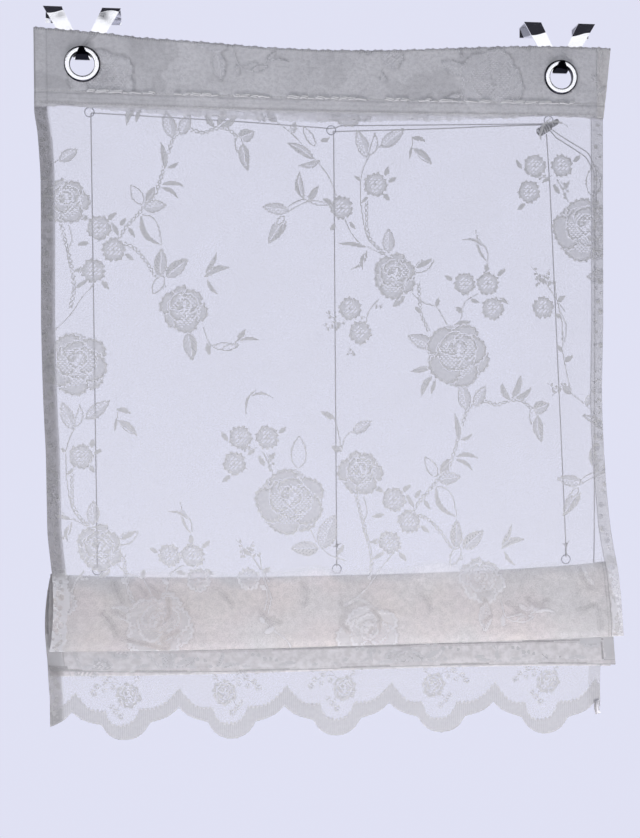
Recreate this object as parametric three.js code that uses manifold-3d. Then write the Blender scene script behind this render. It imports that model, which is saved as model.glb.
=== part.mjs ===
// Lace roman blind, hanging half raised on two window hooks.
// Millimetres, +Z up, +X to the right, the face of the blind looks to -Y.
// Origin: midway between the two hooks, at the height of the edge that they hang on (the
// underside of their bridges), in the plane of their flat backs.
import * as THREE from "three";
import { mergeVertices } from "three/addons/utils/BufferGeometryUtils.js";
import Module from "manifold-3d";

const wasm = await Module();
wasm.setup();

// ---------------------------------------------------------------- driving sizes
const GAP = 0.3; // between touching pieces

const HOOK = {
  x: 249.5, // each side of the middle
  plate: 1.2, // sheet metal
  reach: 38.2, // from the middle of the hook to the outer corner of an arm, at the top
  armTop: 18.4, // width of an arm along its top
  foot: 7.6, // half the width of the foot
  footZ: -51.9, // crease at the foot, where the tongue turns forward
  crotchZ: -39.6, // where the arms part
  bridge: 18, // depth of the edge that the hook sits on
  lip: 10, // the bent-down end behind it
  tongueTipZ: -40.2,
};
const EYELET = { z: -57.1, outer: 17.8, bore: 12.2, barrel: 13.2, back: -1.5, bandBack: -2.6, bandFront: -5.0, crown: -7.9 };
const HEADING = { mid: -3.8, thick: 2.4, fold: 1.2, seam: 1.7, casing: 2.6, edge: 1.0, seamZ: -84.6, seamSag: 1.6, bow: -0.8 };
const SHEET = {
  thick: 1.0, // the solid that stands for the sheer lace
  hemThick: 1.6,
  hem: 13, // width of the turned-in side hems
  width: 600, // finished width
  topZ: -91, // its top edge, tucked up behind the heading
  topY: -1.35,
  frontY: -21.5, // the front layer where it reaches the stack
  pitch: 2.6, // from one layer of the stack to the next
  lean: 3.4, // how far the creases lean back to the cords
  leanZ: -626, // below this the layers hang straight
  columns: 18,
  wave: 1.2, // soft waves across the face
};
const RING = { wire: 1.3, across: 10.7, y: 2.0, lift: 0.8 }; // lift: how far a lower ring stands above its crease
const CORD = { d: 1.2, sides: 8, loop: 1.7, knot: 1.7 };
const LOCK = { y: 7.8, r: 4.8, neck: 3.1, body: 15.5, length: 26.4 };
const COIL = { x: 280, y: -2.2, z: -650, rows: 3, r: 7.2 };

// ---------------------------------------------------------------- short tables
// Outline of the front face of the panel: height, left edge, right edge.
const EDGES = [
  { z: -91, left: -297.5, right: 297.6 },
  { z: -104, left: -298.6, right: 297.0 },
  { z: -124, left: -294.7, right: 296.8 },
  { z: -168, left: -291.9, right: 296.4 },
  { z: -228, left: -291.8, right: 295.8 },
  { z: -316, left: -292.3, right: 294.8 },
  { z: -357, left: -291.6, right: 293.4 },
  { z: -390, left: -290.8, right: 292.3 },
  { z: -421, left: -289.6, right: 292.7 },
  { z: -450, left: -288.2, right: 293.6 },
  { z: -485, left: -287.8, right: 295.3 },
  { z: -532, left: -287.2, right: 299.6 },
  { z: -556, left: -284.6, right: 303.4 },
  { z: -580, left: -282.0, right: 308.2 },
  { z: -612, left: -281.6, right: 311.2 },
  { z: -640, left: -284.4, right: 313.4 },
];
// Folds of the stack in the order in which the cloth runs: height at the left end, in the
// middle and at the right end, and where its two ends lie.
const FOLDS = [
  { name: "front fold", low: true, zL: -650.0, zM: -653.0, zR: -650.8, left: -286.2, right: 314.0 },
  { name: "first crease", low: false, zL: -572.6, zM: -580.2, zR: -572.2, left: -291.4, right: 297.4 },
  { name: "second fold", low: true, zL: -670.4, zM: -677.8, zR: -682.6, left: -287.4, right: 307.0 },
  { name: "second crease", low: false, zL: -581.5, zM: -588.6, zR: -592.6, left: -290.8, right: 302.0 },
  { name: "third fold", low: true, zL: -677.6, zM: -680.8, zR: -685.2, left: -286.4, right: 303.6 },
  { name: "third crease", low: false, zL: -590.5, zM: -597.6, zR: -601.0, left: -289.4, right: 298.0 },
];
const TAIL = { left: -287.9, right: 293.6, endZ: -764, rows: [-700, -720, -742] };
// Scallops of the lower edge: middle and lowest point of each; the first and last are cut by the sides.
const SCALLOPS = [
  { x: -319.7, z: -751.5 },
  { x: -211.4, z: -746.6 },
  { x: -102.9, z: -749.6 },
  { x: 7.6, z: -751.0 },
  { x: 119.4, z: -751.2 },
  { x: 232.6, z: -757.2 },
  { x: 343.8, z: -758.2 },
];
// Half of one scallop: share of the way from its middle to the notch, height above its lowest point.
const SCALLOP = [
  { out: 0.0, up: 0.0 },
  { out: 0.12, up: 0.8 },
  { out: 0.23, up: 3.2 },
  { out: 0.33, up: 7.3 },
  { out: 0.4, up: 12.4 },
  { out: 0.45, up: 17.4 },
  { out: 0.56, up: 19.2 },
  { out: 0.7, up: 21.4 },
  { out: 0.83, up: 24.8 },
  { out: 0.93, up: 29.2 },
  { out: 1.0, up: 33.6 },
];
// Outline of the heading: place across, top edge, bottom edge.
const BAND = [
  { x: -297.4, top: -21.2, bottom: -101.1 },
  { x: -284.0, top: -21.6, bottom: -100.0 },
  { x: -271.3, top: -22.4, bottom: -98.8 },
  { x: -249.5, top: -23.6, bottom: -99.8 },
  { x: -226.5, top: -25.0, bottom: -101.6 },
  { x: -190.0, top: -28.4, bottom: -104.4 },
  { x: -126.8, top: -31.0, bottom: -107.2 },
  { x: -64.3, top: -34.6, bottom: -108.9 },
  { x: -7.3, top: -35.6, bottom: -109.7 },
  { x: 42.8, top: -34.6, bottom: -107.6 },
  { x: 80.0, top: -33.0, bottom: -106.4 },
  { x: 143.9, top: -28.8, bottom: -104.2 },
  { x: 190.0, top: -26.0, bottom: -100.8 },
  { x: 218.4, top: -24.8, bottom: -98.6 },
  { x: 249.5, top: -24.4, bottom: -97.4 },
  { x: 272.0, top: -24.3, bottom: -98.4 },
  { x: 304.4, top: -24.3, bottom: -100.6 },
];
const BAND_RIGHT_FOOT = 296.6; // the right end slants in to here
const RINGS_TOP = [
  { name: "ring_top_left", x: -243.3, z: -103.6 },
  { name: "ring_top_centre", x: 4.8, z: -116.6 },
  { name: "ring_top_right", x: 238.5, z: -101.2 },
];
const RINGS_LOW = [
  { name: "ring_low_left", x: -238.3 },
  { name: "ring_low_centre", x: 6.9 },
  { name: "ring_low_right", x: 252.6 },
];

// ---------------------------------------------------------------- helpers
const lerp = (a, b, t) => a + (b - a) * t;
const smooth = (t) => {
  const c = Math.min(Math.max(t, 0), 1);
  return c * c * (3 - 2 * c);
};
// Reads a column of a table at a place along another one.
function read(rows, key, at, column) {
  const sign = rows[rows.length - 1][key] > rows[0][key] ? 1 : -1;
  if ((at - rows[0][key]) * sign <= 0) return rows[0][column];
  for (let i = 1; i < rows.length; i++)
    if ((at - rows[i][key]) * sign <= 0) {
      const t = (at - rows[i - 1][key]) / (rows[i][key] - rows[i - 1][key]);
      return lerp(rows[i - 1][column], rows[i][column], t);
    }
  return rows[rows.length - 1][column];
}
function toManifold(geometry) {
  const g = geometry.clone();
  g.deleteAttribute("normal");
  g.deleteAttribute("uv");
  const m = mergeVertices(g, 1e-4);
  return new wasm.Manifold(
    new wasm.Mesh({ numProp: 3, vertProperties: new Float32Array(m.attributes.position.array), triVerts: new Uint32Array(m.index.array) }),
  );
}
function toGeometry(manifold) {
  const mesh = manifold.getMesh();
  const g = new THREE.BufferGeometry();
  g.setAttribute("position", new THREE.BufferAttribute(new Float32Array(mesh.vertProperties), 3));
  g.setIndex(new THREE.BufferAttribute(new Uint32Array(mesh.triVerts), 1));
  g.computeVertexNormals();
  return g;
}
const extrude = (shape, depth) => new THREE.ExtrudeGeometry(shape, { depth, steps: 1, bevelEnabled: false });
// A shape drawn in x and z, made solid from y0 to y1.
function slab(points, y0, y1) {
  const g = extrude(new THREE.Shape(points.map(([x, z]) => new THREE.Vector2(x, z))), y1 - y0);
  g.rotateX(Math.PI / 2); // the drawing stands up and its depth runs to -Y
  g.translate(0, y1, 0);
  return g;
}
function box(x0, x1, y0, y1, z0, z1) {
  const g = new THREE.BoxGeometry(x1 - x0, y1 - y0, z1 - z0);
  g.translate((x0 + x1) / 2, (y0 + y1) / 2, (z0 + z1) / 2);
  return g;
}
// A closed sheet from a grid of its front and back points: rows run down the cloth, columns to +X.
function sheetGeometry(front, back) {
  const rows = front.length;
  const cols = front[0].length;
  const position = [];
  for (const side of [front, back]) for (const row of side) for (const p of row) position.push(p[0], p[1], p[2]);
  const F = (i, j) => i * cols + j;
  const B = (i, j) => rows * cols + i * cols + j;
  const index = [];
  const quad = (a, b, c, d) => index.push(a, b, c, a, c, d);
  for (let i = 0; i < rows - 1; i++)
    for (let j = 0; j < cols - 1; j++) {
      quad(F(i, j), F(i + 1, j), F(i + 1, j + 1), F(i, j + 1));
      quad(B(i, j), B(i, j + 1), B(i + 1, j + 1), B(i + 1, j));
    }
  for (let i = 0; i < rows - 1; i++) {
    quad(F(i, 0), B(i, 0), B(i + 1, 0), F(i + 1, 0));
    quad(F(i, cols - 1), F(i + 1, cols - 1), B(i + 1, cols - 1), B(i, cols - 1));
  }
  for (let j = 0; j < cols - 1; j++) {
    quad(F(0, j), F(0, j + 1), B(0, j + 1), B(0, j));
    quad(F(rows - 1, j), B(rows - 1, j), B(rows - 1, j + 1), F(rows - 1, j + 1));
  }
  const g = new THREE.BufferGeometry();
  g.setAttribute("position", new THREE.Float32BufferAttribute(position, 3));
  g.setIndex(index);
  g.computeVertexNormals();
  return g;
}

// A curve through given points, taken one by one, so that straight runs need few steps.
class Route extends THREE.Curve {
  constructor(points) {
    super();
    this.points = points;
  }
  getPoint(t, target = new THREE.Vector3()) {
    const last = this.points.length - 1;
    const k = Math.min(Math.floor(t * last + 1e-9), last - 1);
    return target.lerpVectors(this.points[k], this.points[k + 1], t * last - k);
  }
  getPointAt(u, target) {
    return this.getPoint(u, target);
  }
  getTangentAt(u, target = new THREE.Vector3()) {
    const last = this.points.length - 1;
    const k = Math.round(u * last);
    const a = this.points[Math.max(k - 1, 0)];
    const b = this.points[k];
    const c = this.points[Math.min(k + 1, last)];
    const into = new THREE.Vector3().subVectors(b, a).normalize();
    const out = new THREE.Vector3().subVectors(c, b).normalize();
    if (k === 0) return target.copy(out);
    if (k === last) return target.copy(into);
    return target.addVectors(into, out).normalize();
  }
}
// Corner points [x, y, z, radius] to a line of straights and arcs.
function rounded(corners) {
  const v = corners.map((c) => new THREE.Vector3(c[0], c[1], c[2]));
  const line = [v[0].clone()];
  for (let i = 1; i < v.length - 1; i++) {
    const a = new THREE.Vector3().subVectors(v[i - 1], v[i]).normalize();
    const b = new THREE.Vector3().subVectors(v[i + 1], v[i]).normalize();
    const turn = Math.PI - a.angleTo(b);
    if (turn < 0.02) {
      line.push(v[i].clone());
      continue;
    }
    const room = 0.49 * Math.min(v[i].distanceTo(v[i - 1]), v[i].distanceTo(v[i + 1]));
    const cut = Math.min((corners[i][3] || 6) * Math.tan(turn / 2), room);
    const r = cut / Math.tan(turn / 2);
    const centre = new THREE.Vector3().addVectors(a, b).normalize().multiplyScalar(r / Math.cos(turn / 2)).add(v[i]);
    const from = v[i].clone().addScaledVector(a, cut).sub(centre);
    const to = v[i].clone().addScaledVector(b, cut).sub(centre);
    const steps = Math.max(1, Math.ceil(turn / 0.3));
    for (let k = 0; k <= steps; k++) {
      const t = k / steps;
      const s = Math.sin(turn);
      const p = from.clone().multiplyScalar(Math.sin((1 - t) * turn) / s).addScaledVector(to, Math.sin(t * turn) / s);
      line.push(p.add(centre));
    }
  }
  line.push(v[v.length - 1].clone());
  return line;
}
function tube(line, diameter, sides = CORD.sides) {
  const section = new THREE.Shape();
  for (let i = 0; i < sides; i++) {
    const a = (i / sides) * Math.PI * 2;
    const p = [(Math.cos(a) * diameter) / 2, (Math.sin(a) * diameter) / 2];
    if (i) section.lineTo(...p);
    else section.moveTo(...p);
  }
  section.closePath();
  return new THREE.ExtrudeGeometry(section, { steps: line.length - 1, bevelEnabled: false, extrudePath: new Route(line) });
}
function ball(x, y, z, rx, ry, rz) {
  const g = new THREE.SphereGeometry(1, 10, 8);
  g.scale(rx, ry, rz);
  g.translate(x, y, z);
  return g;
}
const union = (...geometries) => toGeometry(geometries.map(toManifold).reduce((a, b) => a.add(b)));

const material = {
  lace: new THREE.MeshStandardMaterial({ color: 0xe9e7e6, roughness: 0.9, metalness: 0 }),
  band: new THREE.MeshStandardMaterial({ color: 0xd6d5d4, roughness: 0.9, metalness: 0 }),
  steel: new THREE.MeshStandardMaterial({ color: 0xd9dce0, roughness: 0.12, metalness: 1 }),
  clear: new THREE.MeshStandardMaterial({ color: 0xdfe3e4, roughness: 0.2, metalness: 0 }),
  cord: new THREE.MeshStandardMaterial({ color: 0xe4e4e6, roughness: 0.8, metalness: 0 }),
};
const blind = new THREE.Group();
function add(name, geometry, kind, parent = blind) {
  const mesh = new THREE.Mesh(geometry, material[kind].clone());
  mesh.name = name;
  parent.add(mesh);
  return mesh;
}

// ---------------------------------------------------------------- lace panel
const across = (x) => (x + SHEET.width / 2) / SHEET.width;
// Soft waves of the cloth, always towards the front.
const ripple = (u) => 0.5 - 0.5 * Math.cos(2 * Math.PI * (1.5 * u + 0.12));
const waveAt = (u, z) => -SHEET.wave * ripple(u) * smooth((-z - 140) / 400);
// The front layer leans forward from the heading to the front of the stack.
function dropY(z) {
  if (z > -104) return SHEET.topY;
  return lerp(SHEET.topY - 0.8, SHEET.frontY, Math.min((-z - 104) / 500, 1));
}
const bowAt = (x) => HEADING.bow * (0.5 + 0.5 * Math.cos((Math.PI * Math.min(Math.abs(x), HOOK.x)) / HOOK.x));
// Height of a fold across the cloth: level in the middle, bending to its ends.
function foldZ(fold, u) {
  const s = 2 * u - 1;
  return fold.zM + ((s < 0 ? fold.zL : fold.zR) - fold.zM) * Math.abs(s) ** 2.6;
}
const leanAt = (z) => SHEET.lean * smooth((z - SHEET.leanZ) / 36);

// One column of the cloth: its centre line from the top edge to the tail, as [x, y, z].
function column(u) {
  const line = [];
  for (const row of EDGES) {
    const x = lerp(row.left, row.right, u);
    line.push([x, dropY(row.z) + waveAt(u, row.z) + bowAt(x) * smooth((row.z + 400) / 300), row.z]);
  }
  const wave = waveAt(u, -600);
  const r = SHEET.pitch / 2;
  let y = SHEET.frontY;
  FOLDS.forEach((fold, k) => {
    const z = foldZ(fold, u);
    const x = lerp(fold.left, fold.right, u);
    const middle = fold.low ? z + r : z - r;
    const lean = fold.low ? 0 : SHEET.lean;
    for (let i = 0; i <= 4; i++) {
      const a = (i / 4) * Math.PI;
      line.push([x, y + lean + wave + r - r * Math.cos(a), middle + (fold.low ? -1 : 1) * r * Math.sin(a)]);
    }
    y += SHEET.pitch;
    // the straight of the layer up to the next fold, or down to the tail
    const next = FOLDS[k + 1];
    const zNext = next ? (next.low ? foldZ(next, u) + r : foldZ(next, u) - r) : TAIL.rows[0];
    const end = next ? [next.left, next.right] : [TAIL.left, TAIL.right];
    for (const t of [0.33, 0.66]) {
      const zz = lerp(middle, zNext, t);
      line.push([lerp(x, lerp(end[0], end[1], u), t), y + leanAt(zz) + wave, zz]);
    }
  });
  for (const z of [...TAIL.rows, TAIL.endZ]) line.push([lerp(TAIL.left, TAIL.right, u), y + wave, z]);
  return line;
}
const HEM = SHEET.hem / SHEET.width;
const columns = [0, HEM, HEM + 0.006];
for (let i = 1; i < SHEET.columns; i++) columns.push(lerp(HEM + 0.006, 1 - HEM - 0.006, i / SHEET.columns));
columns.push(1 - HEM - 0.006, 1 - HEM, 1);

function lacePanel() {
  const front = [];
  const back = [];
  columns.forEach((u, j) => {
    const line = column(u);
    const half = (u <= HEM || u >= 1 - HEM ? SHEET.hemThick : SHEET.thick) / 2;
    line.forEach((p, i) => {
      const a = line[Math.max(i - 1, 0)];
      const b = line[Math.min(i + 1, line.length - 1)];
      const d = Math.hypot(b[1] - a[1], b[2] - a[2]);
      const ny = (b[2] - a[2]) / d;
      const nz = -(b[1] - a[1]) / d;
      front[i] = front[i] || [];
      back[i] = back[i] || [];
      front[i][j] = [p[0], p[1] + ny * half, p[2] + nz * half];
      back[i][j] = [p[0], p[1] - ny * half, p[2] - nz * half];
    });
  });
  const cloth = toManifold(sheetGeometry(front, back));
  // what lies below the scalloped edge is cut away
  const edge = [];
  for (let k = 0; k < SCALLOPS.length - 1; k++) {
    const a = SCALLOPS[k];
    const b = SCALLOPS[k + 1];
    const notch = (a.x + b.x) / 2;
    const notchZ = (a.z + b.z) / 2 + SCALLOP[SCALLOP.length - 1].up;
    for (const s of SCALLOP) edge.push([lerp(a.x, notch, s.out), lerp(a.z, notchZ - SCALLOP[SCALLOP.length - 1].up, s.out) + s.up]);
    for (const s of [...SCALLOP].reverse().slice(1)) edge.push([lerp(b.x, notch, s.out), lerp(b.z, notchZ - SCALLOP[SCALLOP.length - 1].up, s.out) + s.up]);
  }
  const below = [...edge, [edge[edge.length - 1][0], -790], [edge[0][0], -790]];
  return toGeometry(cloth.subtract(toManifold(slab(below, -14, 0))));
}
add("lace_panel", lacePanel(), "lace");

// ---------------------------------------------------------------- heading band
function headingBand() {
  const rows = 9;
  const front = [];
  const back = [];
  const xs = [];
  for (let i = 0; i < BAND.length - 1; i++) {
    xs.push(BAND[i].x);
    if (BAND[i + 1].x - BAND[i].x > 40) xs.push((BAND[i].x + BAND[i + 1].x) / 2);
  }
  xs.push(BAND[BAND.length - 1].x);
  for (let i = 0; i < rows; i++) {
    front.push([]);
    back.push([]);
  }
  xs.forEach((x, j) => {
    const top = read(BAND, "x", x, "top");
    const bottom = read(BAND, "x", x, "bottom");
    const seam = HEADING.seamZ - HEADING.seamSag * Math.cos((Math.PI * x) / 600);
    const z = [top, top - 1.6, lerp(top, seam, 0.35), lerp(top, seam, 0.7), seam + 2.2, seam, seam - 5.5, lerp(seam - 5.5, bottom, 0.35), bottom];
    const t = [HEADING.fold, HEADING.thick, HEADING.thick, HEADING.thick, HEADING.thick, HEADING.seam, HEADING.casing, HEADING.seam, HEADING.edge];
    for (let i = 0; i < rows; i++) {
      const slant = x > 290 ? lerp(0, BAND_RIGHT_FOOT - BAND[BAND.length - 1].x, ((z[i] - top) / (bottom - top)) * ((x - 272) / 32.4)) : 0;
      const y = HEADING.mid + bowAt(x);
      front[i][j] = [x + slant, y - t[i] / 2, z[i]];
      // below the seam the back stays flush, so that the panel can pass behind it
      back[i][j] = [x + slant, y + Math.min(t[i], HEADING.thick) / 2, z[i]];
    }
  });
  let band = toManifold(sheetGeometry(front, back));
  for (const side of [-1, 1]) {
    const hole = new THREE.CylinderGeometry(EYELET.barrel + GAP, EYELET.barrel + GAP, 12, 36);
    hole.translate(side * HOOK.x, HEADING.mid, EYELET.z);
    band = band.subtract(toManifold(hole));
  }
  return toGeometry(band);
}
add("heading_band", headingBand(), "band");

// ---------------------------------------------------------------- eyelets
// Section of one eyelet: distance from its axis, place along it towards the back.
const eyeletSection = [
  [EYELET.bore, -3.0],
  [EYELET.bore + 0.35, -6.6],
  [EYELET.bore + 1.5, -7.6],
  [EYELET.bore + 2.9, EYELET.crown],
  [EYELET.bore + 4.4, -7.5],
  [EYELET.outer - 0.2, -6.5],
  [EYELET.outer, EYELET.bandFront - GAP],
  [EYELET.barrel, EYELET.bandFront - GAP],
  [EYELET.barrel, EYELET.bandBack + GAP],
  [EYELET.outer - 1.2, EYELET.bandBack + GAP],
  [EYELET.outer - 1.2, EYELET.back],
  [EYELET.bore + 0.3, EYELET.back],
];
for (const [name, side] of [["eyelet_left", -1], ["eyelet_right", 1]]) {
  const profile = [...eyeletSection, eyeletSection[0]].map(([r, y]) => new THREE.Vector2(r, y));
  const mesh = add(name, new THREE.LatheGeometry(profile, 36), "steel");
  mesh.position.set(side * HOOK.x, 0, EYELET.z);
}

// ---------------------------------------------------------------- window hooks
function hookGeometry() {
  const t = HOOK.plate;
  const k = (HOOK.reach - HOOK.foot) / -HOOK.footZ; // slope of the outer edges
  const inner = HOOK.reach - HOOK.armTop;
  const plate = slab(
    [
      [-HOOK.foot, HOOK.footZ],
      [HOOK.foot, HOOK.footZ],
      [HOOK.reach + k * t, t],
      [inner + (inner / -HOOK.crotchZ) * t, t],
      [0, HOOK.crotchZ],
      [-inner - (inner / -HOOK.crotchZ) * t, t],
      [-HOOK.reach - k * t, t],
    ],
    -t,
    0,
  );
  const parts = [plate];
  for (const s of [-1, 1]) {
    const [a, b] = s < 0 ? [-HOOK.reach, -inner] : [inner, HOOK.reach];
    parts.push(box(a, b, -t / 2, HOOK.bridge + t, 0, t));
    parts.push(box(a, b, HOOK.bridge, HOOK.bridge + t, -HOOK.lip, t / 2));
  }
  // tongue: a bent strip cut to a triangle
  const path = [
    [-t / 2, HOOK.footZ + 0.2],
    [-9.6, -46.9],
    [-11.0, HOOK.tongueTipZ - 0.6],
  ];
  const strip = [];
  const under = [];
  path.forEach(([y, z], i) => {
    const a = path[Math.max(i - 1, 0)];
    const b = path[Math.min(i + 1, path.length - 1)];
    const d = Math.hypot(b[0] - a[0], b[1] - a[1]);
    const ny = (-(b[1] - a[1]) / d) * (t / 2);
    const nz = ((b[0] - a[0]) / d) * (t / 2);
    strip.push([y - ny, z - nz]);
    under.unshift([y + ny, z + nz]);
  });
  const bent = extrude(new THREE.Shape([...strip, ...under].map(([y, z]) => new THREE.Vector2(y, z))), 40);
  // drawn in y and z, depth to be along x
  bent.applyMatrix4(new THREE.Matrix4().set(0, 0, 1, -20, 1, 0, 0, 0, 0, 1, 0, 0, 0, 0, 0, 1));
  const cut = slab(
    [
      [-HOOK.foot, HOOK.footZ - 4],
      [HOOK.foot, HOOK.footZ - 4],
      [HOOK.foot, HOOK.footZ],
      [1.0, HOOK.tongueTipZ + 1.2],
      [-1.0, HOOK.tongueTipZ + 1.2],
      [-HOOK.foot, HOOK.footZ],
    ],
    -20,
    2,
  );
  let solid = toManifold(plate);
  for (const p of parts.slice(1)) solid = solid.add(toManifold(p));
  return toGeometry(solid.add(toManifold(bent).intersect(toManifold(cut))));
}
for (const [name, side] of [["hook_left", -1], ["hook_right", 1]]) {
  const mesh = add(name, hookGeometry(), "steel");
  mesh.position.x = side * HOOK.x;
}

// ---------------------------------------------------------------- cord rings
function ringGeometry() {
  const r = RING.wire / 2;
  const mid = RING.across / 2 - r;
  const profile = [];
  for (let i = 0; i <= 8; i++) {
    const a = -(i / 8) * Math.PI * 2;
    profile.push(new THREE.Vector2(mid + r * Math.cos(a), r * Math.sin(a)));
  }
  profile[8].copy(profile[0]);
  return new THREE.LatheGeometry(profile.reverse(), 20); // its axis is Y, so it faces the front
}
const creaseY = SHEET.frontY + 1.5 * SHEET.pitch + SHEET.lean;
for (const ring of RINGS_TOP) add(ring.name, ringGeometry(), "clear").position.set(ring.x, RING.y, ring.z);
for (const ring of RINGS_LOW) {
  const u = across(ring.x);
  ring.y = creaseY + waveAt(u, -600);
  ring.z = foldZ(FOLDS[1], u) + SHEET.thick / 2 + RING.lift + RING.across / 2;
  add(ring.name, ringGeometry(), "clear").position.set(ring.x, ring.y, ring.z);
}

// ---------------------------------------------------------------- cord lock
const lockAxis = new THREE.Vector3(0.853, 0, 0.5219).normalize();
const lockFoot = new THREE.Vector3(228.6, LOCK.y, -113.7);
{
  const section = [
    [0, 0],
    [LOCK.r - 1.8, 0],
    [LOCK.r - 0.5, 0.8],
    [LOCK.r, 2.6],
    [LOCK.r, LOCK.body - 1.2],
    [LOCK.r - 0.9, LOCK.body],
    [LOCK.neck, LOCK.body + 0.6],
    [LOCK.neck, LOCK.length - 1.4],
    [LOCK.neck - 1.1, LOCK.length],
    [0, LOCK.length],
  ];
  const mesh = add("cord_lock", new THREE.LatheGeometry(section.map(([r, y]) => new THREE.Vector2(r, y)), 20), "clear");
  mesh.position.copy(lockFoot);
  mesh.quaternion.setFromUnitVectors(new THREE.Vector3(0, 1, 0), lockAxis);
}
// A place on the lock's side: how far along, how far off its axis to the upper left, how far to the back.
function onLock(along, off, back) {
  const p = lockFoot.clone().addScaledVector(lockAxis, along);
  p.x -= lockAxis.z * off;
  p.z += lockAxis.x * off;
  p.y += back;
  return [p.x, p.y, p.z];
}

// ---------------------------------------------------------------- lift cords
// Each is one cord: knotted loop round the lower ring, up behind the panel, through the upper rings to the lock.
function liftCord(ring, knotZ, top) {
  const y0 = ring.y;
  const bar = ring.z + RING.across / 2 - RING.wire / 2; // the top of the ring
  const k = CORD.loop;
  const loop = [
    [ring.x, y0 + 0.2, knotZ, 3],
    [ring.x, y0 - k, knotZ - 9, 6],
    [ring.x, y0 - k, bar + 0.4, 3],
  ];
  const line = rounded(loop);
  for (let i = 0; i <= 8; i++) {
    const a = Math.PI * (i / 8);
    line.push(new THREE.Vector3(ring.x, y0 - k * Math.cos(a), bar - k * Math.sin(a)));
  }
  line.push(...rounded([[ring.x, y0 + k, bar + 0.4, 3], [ring.x, y0 + k, knotZ - 9, 6], [ring.x, y0 + 0.2, knotZ, 3]]));
  const clean = line.filter((p, i) => !i || p.distanceTo(line[i - 1]) > 0.15);
  return union(
    tube(clean, CORD.d),
    ball(ring.x, y0 + 0.1, knotZ, CORD.knot, CORD.knot, CORD.knot * 1.25),
    tube(rounded([[ring.x, y0 + 0.2, knotZ, 3], ...top]), CORD.d),
  );
}
const [ringTL, ringTC] = RINGS_TOP;
const before = RING.y - 1.75; // in front of a ring's wire
const behind = RING.y + 1.8; // behind it
const END = LOCK.r + 0.8; // where a cord ends beside the lock
const leftTop = [
  [ringTL.x + 1.6, before - 0.1, ringTL.z - 9.5, 8],
  [ringTL.x + 1.6, before, ringTL.z - 3.8, 2.4],
  [ringTL.x + 1.8, RING.y + 0.4, ringTL.z - 0.7, 2.4],
  [ringTL.x + 5.2, behind + 0.3, ringTL.z - 0.4, 4],
  [-90, behind + 0.2, -109.4, 60],
  [ringTC.x - 7.5, behind + 0.1, ringTC.z + 2.6, 6],
  [ringTC.x - 4.2, behind, ringTC.z + 2.0, 5],
  [ringTC.x + 4.2, before - 0.1, ringTC.z + 2.0, 5],
  [ringTC.x + 9.0, before, ringTC.z + 4.4, 8],
  [120, 3.4, -108.2, 90],
  onLock(9.6, END, -1.2),
];
const centreTop = [
  [ringTC.x + 2.4, before - 0.1, ringTC.z - 10, 8],
  [ringTC.x + 2.0, before, ringTC.z - 3.6, 2.4],
  [ringTC.x + 2.0, RING.y + 0.4, ringTC.z - 1.2, 2.4],
  [ringTC.x + 5.4, behind + 0.3, ringTC.z - 0.8, 4],
  [120, 6.2, -111.6, 90],
  [177, 7.4, -107.6, 60],
  onLock(8.6, END, 0.9),
];
const rightTop = [[249.4, -10.2, -450, 400], [246.2, -4.6, -345, 400], [240.4, 3.0, -172, 400], onLock(7.6, -END, 0.2)];
add("lift_cord_left", liftCord(RINGS_LOW[0], -545, leftTop), "cord");
add("lift_cord_centre", liftCord(RINGS_LOW[1], -549, centreTop), "cord");
add("lift_cord_right", liftCord(RINGS_LOW[2], -553, rightTop), "cord");

// ---------------------------------------------------------------- pull cords
// Two strands from the lock, knotted together behind the right hem; one goes on down to the coil.
const KNOT = { x: 288.4, y: -1.9, z: -196 };
const strandA = [
  onLock(13.6, -LOCK.r - GAP, 1.0),
  [248.2, 7.0, -118.2, 8],
  [262.6, 1.9, -128.6, 20],
  [279.0, -0.9, -140.0, 16],
  [287.6, -1.6, -156, 16],
  [KNOT.x - 1.2, KNOT.y, KNOT.z + 5, 20],
  [KNOT.x, KNOT.y, KNOT.z, 6],
];
const strandB = [
  onLock(15.0, -LOCK.r + 0.05 - GAP, -1.6),
  [251.6, 4.8, -116.0, 8],
  [263.4, 0.5, -124.6, 20],
  [281.6, -1.3, -135.6, 16],
  [289.9, -1.7, -154, 16],
  [KNOT.x + 1.3, KNOT.y, KNOT.z + 8, 20],
  [KNOT.x + 1.1, KNOT.y, KNOT.z + 2.3],
];
const outerTurn = COIL.x + COIL.r + CORD.d;
const down = [
  [KNOT.x, KNOT.y, KNOT.z, 6],
  [KNOT.x, -2.6, -260, 120],
  [KNOT.x, -2.8, -480, 120],
  [KNOT.x, -2.4, -552, 60],
  [outerTurn, -0.8, -586, 40],
  [outerTurn, -0.8, -612, 40],
  [outerTurn, -1.0, COIL.z + 5.2],
];
add("pull_cord_a", union(tube(rounded(strandA), CORD.d), ball(KNOT.x, KNOT.y, KNOT.z, 1.6, 1.4, 2.1), tube(rounded(down), CORD.d)), "cord");
add("pull_cord_b", tube(rounded(strandB), CORD.d), "cord");
{
  const inside = COIL.r - (COIL.rows * CORD.d) / 2;
  const outside = COIL.r + (COIL.rows * CORD.d) / 2;
  const half = (COIL.rows * CORD.d) / 2;
  const profile = [
    [inside + 0.4, -half],
    [outside - 0.4, -half],
    [outside, -half + 0.5],
    [outside, half - 0.5],
    [outside - 0.4, half],
    [inside + 0.4, half],
    [inside, half - 0.5],
    [inside, -half + 0.5],
    [inside + 0.4, -half],
  ].map(([r, y]) => new THREE.Vector2(r, y));
  add("pull_cord_coil", new THREE.LatheGeometry(profile, 24), "cord").position.set(COIL.x, COIL.y, COIL.z);
}

export default blind;
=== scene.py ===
# Looks of a sheer rose-lace roman blind on two window hooks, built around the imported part.
# Lengths in this file are millimetres until a mesh is made; X right, Y away from the viewer, Z up.
import math

import bpy
import numpy as np
from mathutils import Matrix, Vector


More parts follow.
